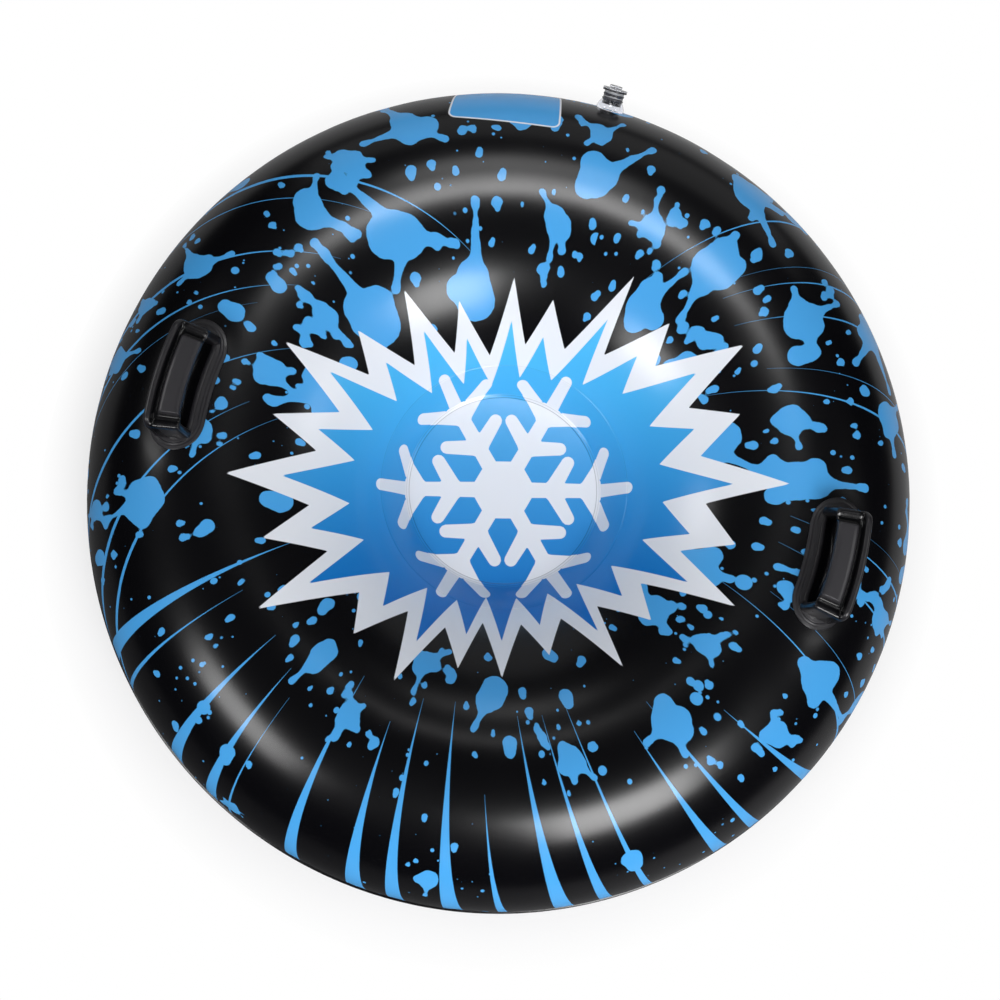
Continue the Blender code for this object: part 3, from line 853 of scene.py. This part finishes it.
for shape, shape_ink in (("burst", WHITE), ("core", core_blue), ("flake", WHITE), ("panel", WHITE)):
    ink = printed.mix(inside(printed.attribute(shape)), ink, shape_ink)
ink = printed.mix(inside(printed.attribute("panel") + PANEL_BORDER), ink, BLUE)
# Film on film a little darker, then the lines of painted shade in the grooves and at the step
doubled_and_groove_shade = inside(reach - DOUBLER_RADIUS) * 0.05
for radius, strength in GROOVE_SHADE_LINES:
    away = reach.maths("ABSOLUTE", reach - radius)
    doubled_and_groove_shade = either(doubled_and_groove_shade, inside(away - 0.5 * MM) * strength)
ink = printed.mix(doubled_and_groove_shade, ink, BLACK)
top_skin.data.materials.append(printed.feed(Base_Color=ink, **film(printed, place)))
print("nodes in the print:", len(printed.tree.nodes))

# %% [markdown]
# The bottom sheet and the second disc are the same film without ink: nearly black, with a trace of dust that
# makes the tone a little uneven.

# %% Plain sheet
plain = Finish("plain_pvc", Specular_IOR_Level=0.5)
place = plain.position()
shade = plain.mix(plain.noise(place, 40.0, 4.0), colour(9, 9, 11), colour(14, 14, 16))
plain.feed(Base_Color=shade, **film(plain, place))
for piece in (bottom_skin, doubler_skin):
    piece.data.materials.append(plain.material)
print("plain film on 2 pieces")

# %% [markdown]
# The three sheets are welded to one another and move as one, so they ride on the tube's body. Each takes the
# place of the plain solid of the same piece.

# %% Sheets take their places
for piece, node, finish_slot in (
    (top_skin, "top_sheet", "printed_sheet"),
    (bottom_skin, "bottom_sheet", "plain_sheet"),
    (doubler_skin, "seat_doubler", "plain_sheet"),
):
    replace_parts(piece, node)
    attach(piece, "tube")
print("sheets ride on the tube")

# %% [markdown]
# ## Handles
#
# Each handle is two soft PVC mouldings. The base is a long oval that is welded to the skin: a thin flange
# round the edge, then low steps up to a plinth. The grip is a flat bar that rises from the plinth at a steep
# slope, runs level and comes down again. Along the outer side of its top runs a rounded bead with a deep
# groove beside it, and the rest of the top is a flat pad.
#
# Both are lofted: rings of points that are placed on the skin and joined. A subdivision surface then rounds
# them. Box modelling would do for one handle, but rings follow the curved skin by themselves.


# %% Loft helpers
def stadium(length, width, side_points=14, end_points=7):
    """A long round-ended outline as (along, across) points."""
    half, straight = width / 2, (length - width) / 2
    points = []
    for sign in (1, -1):
        run = np.linspace(-straight, straight, side_points)[:-1] * -sign
        points += [(x, half * sign) for x in run]
        start = math.pi / 2 * sign
        for i in range(end_points):
            angle = start + math.pi * i / end_points
            points.append((-straight * sign + half * math.cos(angle), half * math.sin(angle)))
    return np.array(points)


def handle_point(side, along, across, up):
    """Points by a handle: along the ring, outwards over the skin, and up from it."""
    return on_skin(side + np.asarray(along) / HANDLE_RADIUS, HANDLE_FLAT + np.asarray(across), up)


# %% [markdown]
# The base is a stack of such outlines, each a little farther in. Rings that lie close together keep a step
# crisp, and a fine ridge runs along each step, as moulds leave it. Every ring also stores one share that the
# material uses later twice: for how glossy the face is, and for painted shade, which darkens the plinth under
# the grip most.

# %% Handle bases
# Millimetres in from the edge and up from the skin, and the share of gloss and painted shade
BASE_LEVELS = (
    *((0.5, -0.5, 0), (0.0, 0.3, 0), (0.0, 1.5, 0.3), (0.7, 2.0, 0.3)),  # the flange's edge
    *((2.6, 2.0, 0), (3.1, 2.3, 0), (3.7, 2.0, 0.4)),  # a ridge on the flange
    *((5.4, 2.0, 0), (5.9, 2.4, 0), (6.6, 2.1, 0.5)),  # a ridge by the step
    *((7.4, 3.4, 0.5), (8.0, 3.7, 0)),  # the step
    *((10.2, 3.7, 0), (10.7, 4.0, 0), (11.3, 3.7, 0.6)),  # a ridge on it
    *((12.3, 4.6, 0.3), (13.0, 4.8, 0), (15.6, 4.8, 0.5)),  # the plinth's rim
    # the plinth under the grip gets the most painted shade, as the grip's shadow
    *((16.4, 4.4, 1), (20.0, 4.4, 1), (24.0, 4.4, 1)),  # the plinth, a little sunk
)


def handle_base(name, side):
    rings, polish_and_shade = [], []
    for inset, up, polish_and_shade_level in BASE_LEVELS:
        outline = stadium(BASE_LENGTH - 2 * inset * MM, BASE_WIDTH - 2 * inset * MM)
        rings.append(handle_point(side, outline[:, 0], outline[:, 1], up * MM))
        polish_and_shade += [polish_and_shade_level] * len(outline)
    base = loft(name, rings)
    store(base.data, "polish_and_shade", np.array([*polish_and_shade, 0, 1], float))
    return base


bases = [handle_base("right_base_skin", 0.0), handle_base("left_base_skin", math.pi)]
print("bases:", [len(base.data.vertices) for base in bases], "points each before smoothing")

# %% [markdown]
# The grip's middle line starts on the plinth, leans in, turns over a round shoulder and runs level.

# %% The grip's middle line
GRIP_WIDTH, GRIP_THICK = 38 * MM, 12 * MM
GRIP_LENGTH, GRIP_RISE, GRIP_BEND = 108 * MM, 36 * MM, 6.5 * MM
LEG_LEAN = math.radians(84)
PLINTH = 4.7 * MM


def grip_line():
    """(along, up, slope, run from the nearer foot) at even steps, and the leg's length."""
    foot_up = PLINTH - 1 * MM
    leg = (GRIP_RISE - foot_up - GRIP_BEND * (1 - math.cos(LEG_LEAN))) / math.sin(LEG_LEAN)
    bar = GRIP_LENGTH / 2 - leg * math.cos(LEG_LEAN) - GRIP_BEND * math.sin(LEG_LEAN)
    bend_run = GRIP_BEND * LEG_LEAN
    half = leg + bend_run + bar
    line = []
    for run in np.linspace(0, 2 * half, 121):
        near = min(run, 2 * half - run)
        side = -1 if run <= half else 1
        if near < leg:
            slope = LEG_LEAN
            along, up = GRIP_LENGTH / 2 - near * math.cos(slope), foot_up + near * math.sin(slope)
        elif near < leg + bend_run:
            slope = LEG_LEAN - (near - leg) / GRIP_BEND
            along, up = bar + GRIP_BEND * math.sin(slope), GRIP_RISE - GRIP_BEND * (1 - math.cos(slope))
        else:
            along, up, slope = half - near, GRIP_RISE, 0.0
        line.append((side * along, up, -side * slope, near))
    return line, leg


def bar_point(side, along, across, up):
    """As handle_point, but straight across the bar, square to the skin under its middle line."""
    lean = float(profile(HANDLE_FLAT)[2])
    angle = side + along / HANDLE_RADIUS
    outwards = np.array([*around(angle, math.cos(lean)), -math.sin(lean)])
    return on_skin(angle, HANDLE_FLAT, up) + outwards * across


print("the line has", len(grip_line()[0]), "stations")

# %% [markdown]
# Walking along the line, the section changes: plain on the legs, then the bead and groove, and the pad only
# on the level part. Where the pad stops short of the shoulder, a deep recess is left, as on the real thing.

# %% Handle grips
BEAD_START, PAD_START = 4.5 * MM, 12.4 * MM  # past the leg's end
FLARE, FLARE_REACH = 0.12, 3 * MM  # the legs widen where they meet the plinth
LOW, RECESS, TOP = -0.25, -0.2, 0.97
# Half sections from below to the top's middle, as (height, width) shares. The outer side has the bead.
UNDERSIDE = ((-1, 0), (-0.98, 0.4), (-0.9, 0.72))
PLAIN_SIDE = (
    *UNDERSIDE,
    *((-0.5, 0.95), (0, 1), (0.45, 0.99), (0.76, 0.95), (0.9, 0.88), (0.96, 0.78)),
    *((TOP, width) for width in (0.68, 0.58, 0.49, 0.4, 0.3, 0.2, 0.1, 0)),
)
OUTER_RECESS = (
    *UNDERSIDE,
    *((-0.5, 0.95), (0, 1), (0.55, 1), (0.9, 0.96), (1.02, 0.86), (1.02, 0.74)),
    *((0.9, 0.64), (0.45, 0.59), (0, 0.56), (RECESS, 0.5)),
    *((LOW, width) for width in (0.38, 0.26, 0.13, 0)),
)
OUTER_PADDED = OUTER_RECESS[:13] + ((RECESS, 0.31), (0.72, 0.25), (0.92, 0.19), (TOP, 0))
INNER_RECESS = (
    *UNDERSIDE,
    *((-0.75, 0.88), (-0.6, 0.95), (-0.45, 0.96), (-0.32, 0.92), (-0.26, 0.84)),
    *((LOW, width) for width in (0.75, 0.66, 0.57, 0.48, 0.38, 0.29, 0.2, 0.1, 0)),
)
BEAD_POINTS, FLOOR_POINTS = slice(4, 10), slice(10, 14)  # of the outer side


def grip_section(bead, pad):
    """Both half sections and their shares of gloss and painted shade, for shares of the bead and the pad from
    0 to 1.
    """
    plain_side, outer, padded, inner = (
        np.array(shares, float) for shares in (PLAIN_SIDE, OUTER_RECESS, OUTER_PADDED, INNER_RECESS)
    )
    outer = plain_side * (1 - bead) + bead * (outer * (1 - pad) + padded * pad)
    inner = plain_side * (1 - bead) + bead * (inner * (1 - pad) + plain_side * pad)
    # Painted shade: dark on the sides and legs, darkest on the groove's floor and in the end recesses,
    # lighter on the bead, none on the pad
    polish_and_shade = np.full((2, len(outer)), 0.7)
    polish_and_shade[:, 6:] += (0.3 * (1 - pad) - 0.7 * pad) * bead
    polish_and_shade[0, FLOOR_POINTS] = 1
    polish_and_shade[0, BEAD_POINTS] = 0.7 - 0.3 * bead
    return outer, inner, polish_and_shade


def handle_grip(name, side):
    line, leg_end = grip_line()
    rings, polish_and_shade_values = [], []
    for along, up, slope, near in line:
        bead = float(step(near - (leg_end + BEAD_START), 0.8 * MM))
        pad = float(step(near - (leg_end + PAD_START), 0.6 * MM))
        outer, inner, polish_and_shade = grip_section(bead, pad)
        flare = 1 + FLARE * math.exp(-near / FLARE_REACH)
        half_thick, half_wide = GRIP_THICK / 2 * flare, GRIP_WIDTH / 2 * flare
        section = [(out * half_thick, wide * half_wide) for out, wide in outer]
        section += [(out * half_thick, -wide * half_wide) for out, wide in inner[-2:0:-1]]
        ring = []
        for out, across in section:
            ring.append(bar_point(side, along - out * math.sin(slope), across, up + out * math.cos(slope)))
        rings.append(np.array(ring))
        polish_and_shade_values += [*polish_and_shade[0], *polish_and_shade[1, -2:0:-1]]
    grip = loft(name, rings, levels=1)
    store(grip.data, "polish_and_shade", np.array([*polish_and_shade_values, 0.5, 0.5]))
    return grip


grips = [handle_grip("right_grip_skin", 0.0), handle_grip("left_grip_skin", math.pi)]
print("grip points:", len(grips[0].data.vertices))

# %% [markdown]
# The handles are the same soft PVC, but moulded, and dark grey. Where the mould was etched the face is matt.
# Where the mould left a gloss the face is smooth, with small sharp glints, and its colour is painted near
# black: painted shade on the sides and legs, darkest in the groove, the end recesses and under the grip. The
# share that each ring stored sets both. A fine, slow unevenness breaks the glints up as soft plastic does.

# %% Moulded PVC
moulded = Finish("moulded_pvc", Specular_IOR_Level=0.5, Coat_Weight=0.25, Coat_Roughness=0.08)
spot = moulded.position()
cloud, fine = moulded.noise(spot, 60.0, 3.0), moulded.noise(spot, 420.0)
polish_and_shade = moulded.attribute("polish_and_shade")
shade = moulded.mix(cloud, colour(41, 40, 44), colour(50, 49, 53))
# Painted shade: the stored share darkens the grey towards black in the recesses, on the sides and under the
# grip
shade = moulded.mix(polish_and_shade, shade, colour(7, 7, 10))
dents = moulded.dents(0.12, 0.4 * MM, cloud + fine * 0.25)
moulded.feed(Base_Color=shade, Roughness=0.38 - polish_and_shade * 0.2 + cloud * 0.1, Normal=dents)
for piece in bases + grips:
    piece.data.materials.append(moulded.material)
    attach(piece, "tube")
for word, base, grip in (("right", bases[0], grips[0]), ("left", bases[1], grips[1])):
    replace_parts(base, f"{word}_handle_base")
    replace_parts(grip, f"{word}_handle_grip")
print("handles ride on the tube")

# %% [markdown]
# ## Valve
#
# The valve is clear soft PVC. A cone rises from the sheet, and holds a short neck with a rim. The plug's head
# lies on the rim, with a knob to pull it by, and its hollow shank is in the neck. Below the neck is a thin
# flap that air pressure shuts. When the tube is full, the whole neck is pushed in.
#
# Round parts are turned: an outline that goes once round the axis. Two close points at each corner of the
# outline keep the corner crisp with a small radius, as moulded parts have.


# %% Turned pieces
CORNER, TURNED_POINTS = 0.35 * MM, 64


def on_valve(points):
    """From the valve's own frame, whose Z is its axis, to the shared one."""
    place = np.array(VALVE_PLACE)
    return points @ place[:3, :3].T + place[:3, 3]


def rounded(points):
    """Each corner of a closed outline as three points of a small arc."""
    result = []
    for i, point in enumerate(points):
        back, ahead = points[i - 1] - point, points[(i + 1) % len(points)] - point
        size = min(CORNER, back.length * 0.4, ahead.length * 0.4)
        start, end = point + back.normalized() * size, point + ahead.normalized() * size
        result += [start, (start + end) / 4 + point / 2, end]
    return result


def turned(name, outline):
    """A ring-shaped solid of revolution on the valve's axis, from (radius, height) points."""
    outline = rounded([Vector(point) for point in outline])
    rings = [on_valve(circle(full_turn(TURNED_POINTS), radius, height)) for radius, height in outline]
    made = loft(name, rings, levels=0, caps=False, sharp=math.radians(50))
    store(made.data, "height", np.repeat([height for _, height in outline], TURNED_POINTS))
    return made


square = [Vector(point) for point in ((0, 0), (1, 0), (1, 1), (0, 1))]
print("a square with round corners has", len(rounded(square)), "points")

# %% [markdown]
# The neck has a rim on top, a bead below it and a shoulder that sits on the cone. Its foot is a wall round
# the flap's seat. The plug has a flat head with a knob, and its shank is hollow from below.

# %% Neck and plug
# Radii, and heights over the skin
BORE, NECK_RADIUS, RIM_RADIUS = 8 * MM, 11.6 * MM, 14.2 * MM
NECK_FOOT, SEAT, NECK_TOP = 4.5 * MM, 9.8 * MM, 21.3 * MM
BEAD, SHOULDER, WAIST = NECK_RADIUS + 0.7 * MM, NECK_RADIUS + 1 * MM, NECK_RADIUS - 0.4 * MM
WALL, FLAP_SEAT = BORE + 2.4 * MM, BORE - 1.6 * MM
HEAD = NECK_TOP + 0.3 * MM
SHANK = BORE - 0.3 * MM
neck = turned(
    "neck_skin",
    [
        *((BORE, NECK_TOP), (RIM_RADIUS, NECK_TOP), (RIM_RADIUS, NECK_TOP - 1.8 * MM)),
        *((NECK_RADIUS, NECK_TOP - 1.9 * MM), (NECK_RADIUS, NECK_TOP - 4.4 * MM)),
        *((BEAD, NECK_TOP - 4.8 * MM), (BEAD, NECK_TOP - 6 * MM)),
        *((NECK_RADIUS, NECK_TOP - 6.4 * MM), (NECK_RADIUS, SEAT + 1.6 * MM)),
        *((SHOULDER, SEAT + 1.5 * MM), (SHOULDER, SEAT)),
        *((WAIST, SEAT - 0.2 * MM), (WAIST, NECK_FOOT), (WALL, NECK_FOOT), (WALL, SEAT - 0.2 * MM)),
        *((FLAP_SEAT, SEAT), (FLAP_SEAT, SEAT + 1 * MM), (BORE, SEAT + 1.2 * MM)),
    ],
)
plug_body = turned(
    "plug_skin",
    [
        *((0.3 * MM, HEAD + 5 * MM), (6.6 * MM, HEAD + 5 * MM), (7.5 * MM, HEAD + 4.2 * MM)),
        *((7.3 * MM, HEAD + 1.5 * MM), (RIM_RADIUS, HEAD + 1.4 * MM), (RIM_RADIUS, HEAD)),
        *((SHANK, HEAD), (SHANK - 0.4 * MM, HEAD - 7.3 * MM), (SHANK - 1.6 * MM, HEAD - 7.3 * MM)),
        *((SHANK - 1.6 * MM, HEAD + 0.1 * MM), (0.3 * MM, HEAD + 0.2 * MM)),
    ],
)
print("neck and plug:", len(neck.data.vertices), len(plug_body.data.vertices), "points")

# %% [markdown]
# The cone's foot follows the curved skin and its top is flat, where it meets the neck. So each ring of it
# takes a share of both: the foot's ring is wrapped on the skin and the top one lies square to the axis.


# %% Valve cone
# Radius and height in millimetres, and flatness
CONE = (
    *((16.3, -2.0, 0), (16.4, 0.6, 0), (16.0, 2.5, 0.2), (15.0, 5.0, 0.5)),
    *((13.6, 7.4, 0.85), (12.3, 8.9, 1), (11.3, 9.5, 1)),
)
CONE_INSIDE = [(radius - 1.1, height - 0.3, flatness) for radius, height, flatness in CONE[::-1]]


def cone_ring(radius, height, flatness):
    """A ring of the cone: wrapped on the skin for flatness 0, and flat for 1."""
    flat = circle(full_turn(64), radius * MM, height * MM)
    wrapped = on_skin(math.pi / 2 - flat[:, 0] / VALVE_RADIUS, VALVE_FLAT + flat[:, 1], height * MM)
    return wrapped * (1 - flatness) + on_valve(flat) * flatness


cone = loft("cone_skin", [cone_ring(*row) for row in (*CONE, *CONE_INSIDE)], levels=1, caps=False)
print("cone:", len(cone.data.vertices), "points")

# %% [markdown]
# The strap keeps the plug with the valve. It is a flat loop from the rim to the plug's head.

# %% Plug strap
STRAP_REACH, STRAP_WIDE, STRAP_THICK = 9 * MM, 4 * MM, 0.9 * MM


def plug_strap():
    rim, head, start = NECK_TOP - 0.9 * MM, HEAD + 0.7 * MM, RIM_RADIUS - 0.3 * MM
    bow = (head - rim) / 2
    spread = bow + 0.8 * MM
    line = [(start, -bow), (start + 3 * MM, -bow - 0.3 * MM)]
    for angle in np.linspace(-math.pi / 2, math.pi / 2, 9):
        line.append(around(angle, spread) + (start + STRAP_REACH - spread, 0))
    line = np.array([*line, (start + 3 * MM, bow + 0.3 * MM), (start, bow)])
    runs = np.gradient(line, axis=0)
    runs /= np.linalg.norm(runs, axis=1, keepdims=True)
    rings = []
    for (out, up), (run_out, run_up) in zip(line, runs):
        corners = [
            (x * STRAP_WIDE / 2, out - side * run_up * STRAP_THICK / 2, up + side * run_out * STRAP_THICK / 2)
            for x, side in ((-1, -1), (1, -1), (1, 1), (-1, 1))
        ]
        rings.append(on_valve(np.array(corners) + (0, 0, (rim + head) / 2)))
    return loft("strap_skin", rings)


strap = plug_strap()
print("strap:", len(strap.data.vertices), "points")

# %% [markdown]
# Clear soft PVC is never quite clean: it has a faint ripple and a trace of grey. The neck is tinted grey, and
# its tint changes with the height over the skin: bands of painted highlight and painted shade stand for the
# light and dark rings that its rim and bead show. The flange and the flap stay as the CAD model has them, in
# the same clear PVC.

# %% Clear PVC
def clear_plastic(name, dark, light, painted_bands=(), clarity=1.0):
    """Clear plastic with a faint ripple in its face and its tint, and bands of painted highlight and painted
    shade from some heights on.
    """
    made = Finish(name, Transmission_Weight=clarity, IOR=1.5, Specular_IOR_Level=0.5)
    ripple = made.noise(made.position(), 260.0)
    tint = made.mix(ripple, dark, light)
    for start, painted_band in painted_bands:
        height = made.attribute("height")
        tint = made.mix(height.maths("GREATER_THAN", height, start), tint, painted_band)
    made.feed(Base_Color=tint, Roughness=0.02 + ripple * 0.04, Normal=made.dents(0.05, 0.3 * MM, ripple))
    return made


clear = clear_plastic("clear_pvc", colour(238, 240, 246), colour(250, 251, 254))
# Painted highlight and painted shade on the neck, from these heights on: a painted highlight below the bead
# and another between bead and rim, painted shade on the bead and on the rim
NECK_PAINTED_BANDS = (
    (NECK_TOP - 8.6 * MM, colour(232, 234, 240)),
    (NECK_TOP - 7.6 * MM, colour(96, 97, 104)),
    (NECK_TOP - 4.4 * MM, colour(240, 242, 247)),
    (NECK_TOP - 2.0 * MM, colour(52, 52, 58)),
)
smoky = clear_plastic("smoky_pvc", colour(84, 85, 92), colour(120, 121, 128), NECK_PAINTED_BANDS, 0.5)
for node in ("valve_flange", "valve_flap"):
    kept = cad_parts[node]
    kept.data.materials.clear()
    kept.data.materials.append(clear.material)
for piece, finish in ((neck, smoky), (plug_body, clear), (cone, clear), (strap, clear)):
    piece.data.materials.append(finish.material)
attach(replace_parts(neck, "valve_neck"), "valve_neck")
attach(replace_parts(plug_body, "valve_plug"), "valve_plug")
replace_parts(cone, "valve_skirt")
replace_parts(strap, "valve_strap")
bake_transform(cone)
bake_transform(strap)
print("valve pieces ride on the tube, the neck and the plug")

# %% [markdown]
# ## Stage and light
#
# The photograph shows the tube on plain white with three soft boxes in its shine: a long one beyond the top
# of the picture, whose far side fades out, and two below it. Their places come from tracing the bright bands
# back: a line from the camera that meets the skin at a band and reflects there has to end in a lamp. Each
# lamp is wide, because the bands have no sharp edge. Weaker ones at the sides and a pale far wall lift the
# black a little, one low fill doesn't show in the shine, and the rest of the room is dim.

# %% Lamps
room = bpy.data.worlds.new("room")
bpy.context.scene.world = room
room.use_nodes = True
air = NodeTree(room.node_tree)
sky = air.tree.nodes["Background"]
sky.inputs["Color"].default_value = (1, 1, 1, 1)
ROOM_FILL, ROOM_GLOSS = 0.16, 0.02
rays = air.node("ShaderNodeLightPath", output="Is Diffuse Ray")
strength = either(rays.sibling("Is Camera Ray"), rays * ROOM_FILL + ROOM_GLOSS)
air.tree.links.new(strength.output, sky.inputs["Strength"])
# Name, right and up in the picture, height over the middle, width, depth, what it faces (right, up), the
# angle of its grid in degrees, and glow
LAMPS = (
    ("top_box", 0.2, 1.18, 2.3, 1.25, 0.97, (0.1, 0.68), 32, 14.2),
    ("top_box_edge", 0.2, 1.84, 2.3, 1.25, 0.5, (0.1, 0.5), 40, 4.0),
    ("lower_right_box", 0.92, -1.92, 2.3, 1.15, 1.05, (0.3, -0.55), 100, 13.5),
    ("lower_left_box", -1.8, -1.36, 2.3, 0.95, 0.85, (0, 0), 180, 8.0),
    ("left_fill", -2.6, 1.0, 2.3, 0.7, 0.8, (0, 0), 180, 4.2),
    ("right_fill", 2.5, -0.35, 2.3, 0.7, 0.7, (0, 0), 180, 3.0),
    ("far_wall", 0.9, 4.8, 1.4, 7.5, 2.6, (0, 0), 180, 0.34),
    ("low_fill", 0.2, -2.5, 1.216, 1.3, 0.8, (0, 0), 180, 6.734),
)
to_object = Matrix.Rotation(PICTURE_TURN, 4, "Z")
for name, right, up, over, width, depth, faces_at, grid, glow in LAMPS:
    data = bpy.data.lights.new(name, "AREA")
    data.shape, data.size, data.size_y, data.spread = "RECTANGLE", width, depth, math.radians(grid)
    half = math.radians(grid) / 2
    data.energy = glow * math.pi * width * depth * (1 - half / math.tan(half))  # what the grid lets pass
    lamp = placed(name, data)
    lamp.location = to_object @ Vector((right, up, MIDDLE + over))
    faced = to_object @ Vector((*faces_at, MIDDLE))
    lamp.rotation_euler = (faced - lamp.location).to_track_quat("-Z", "Y").to_euler()
    lamp.visible_camera = False
    lamp.visible_glossy = name != "low_fill"
print(len(LAMPS), "lamps")

# %% [markdown]
# The floor is pale paper that lies flat under the tube and curves up far away. Near the tube it is an
# ordinary matt surface, so it takes the tube's shadow. Farther off it glows white to the camera, as lit
# paper does, and shows faintly in the tube's shine. That reflection fades out towards the dim room.

# %% Floor and backdrop
GLOW_START, GLOW_FULL, GLOW_FADE, GLOW_END = 0.42, 0.58, 1.5, 2.8
# How much of the paper's white shows in the shine, and how much more of it towards the upper right
MIRRORED_SHARE, MIRRORED_MORE = 0.16, 0.14
outline = ((0.7, 0), (1.5, 0), (3, 0), (5.5, 0), (7, 0.4), (7.8, 1.3), (8, 2.6), (8, 5))
loops = [circle(full_turn(96), radius, height) for radius, height in outline]
faces = grid_faces(len(loops), 96).tolist() + [[len(loops) * 96, i, (i + 1) % 96] for i in range(96)]
backdrop = mesh_object("backdrop", np.concatenate([*loops, [(0, 0, 0)]]), faces, sharp=math.radians(180))
backdrop.data.flip_normals()
paper = Finish("paper", Roughness=0.9, Specular_IOR_Level=0.1)
spot = paper.position()
reach = paper.length(spot)
rise = paper.clamp((reach - GLOW_START) / (GLOW_FULL - GLOW_START))
fade = paper.clamp((GLOW_END - reach) / (GLOW_END - GLOW_FADE))
rays = paper.node("ShaderNodeLightPath", output="Is Camera Ray")
mirrored = rays.sibling("Is Glossy Ray")
to_right = (*around(PICTURE_TURN + math.radians(50), 1), 0)
share = paper.along(spot, to_right) / (reach + 0.01) * MIRRORED_MORE + MIRRORED_SHARE
seen = either(either(rays, rays.sibling("Is Transmission Ray")), mirrored * fade * share)
glow = paper.node("ShaderNodeEmission", {}, {"Color": (1, 1, 1, 1), "Strength": 1.0})
surface = Socket(paper, paper.shader.outputs["BSDF"])
both = paper.node("ShaderNodeMixShader", {}, {0: rise * seen, 1: surface, 2: glow})
lit = fade * (1 - mirrored * (1 - share))
paper.feed(Base_Color=paper.mix(lit, colour(45, 45, 47), colour(246, 246, 248)))
paper.tree.links.new(both.output, paper.tree.nodes["Material Output"].inputs["Surface"])
backdrop.data.materials.append(paper.material)
bpy.context.scene.view_settings.view_transform = "Standard"
print("backdrop", backdrop.dimensions[:2])
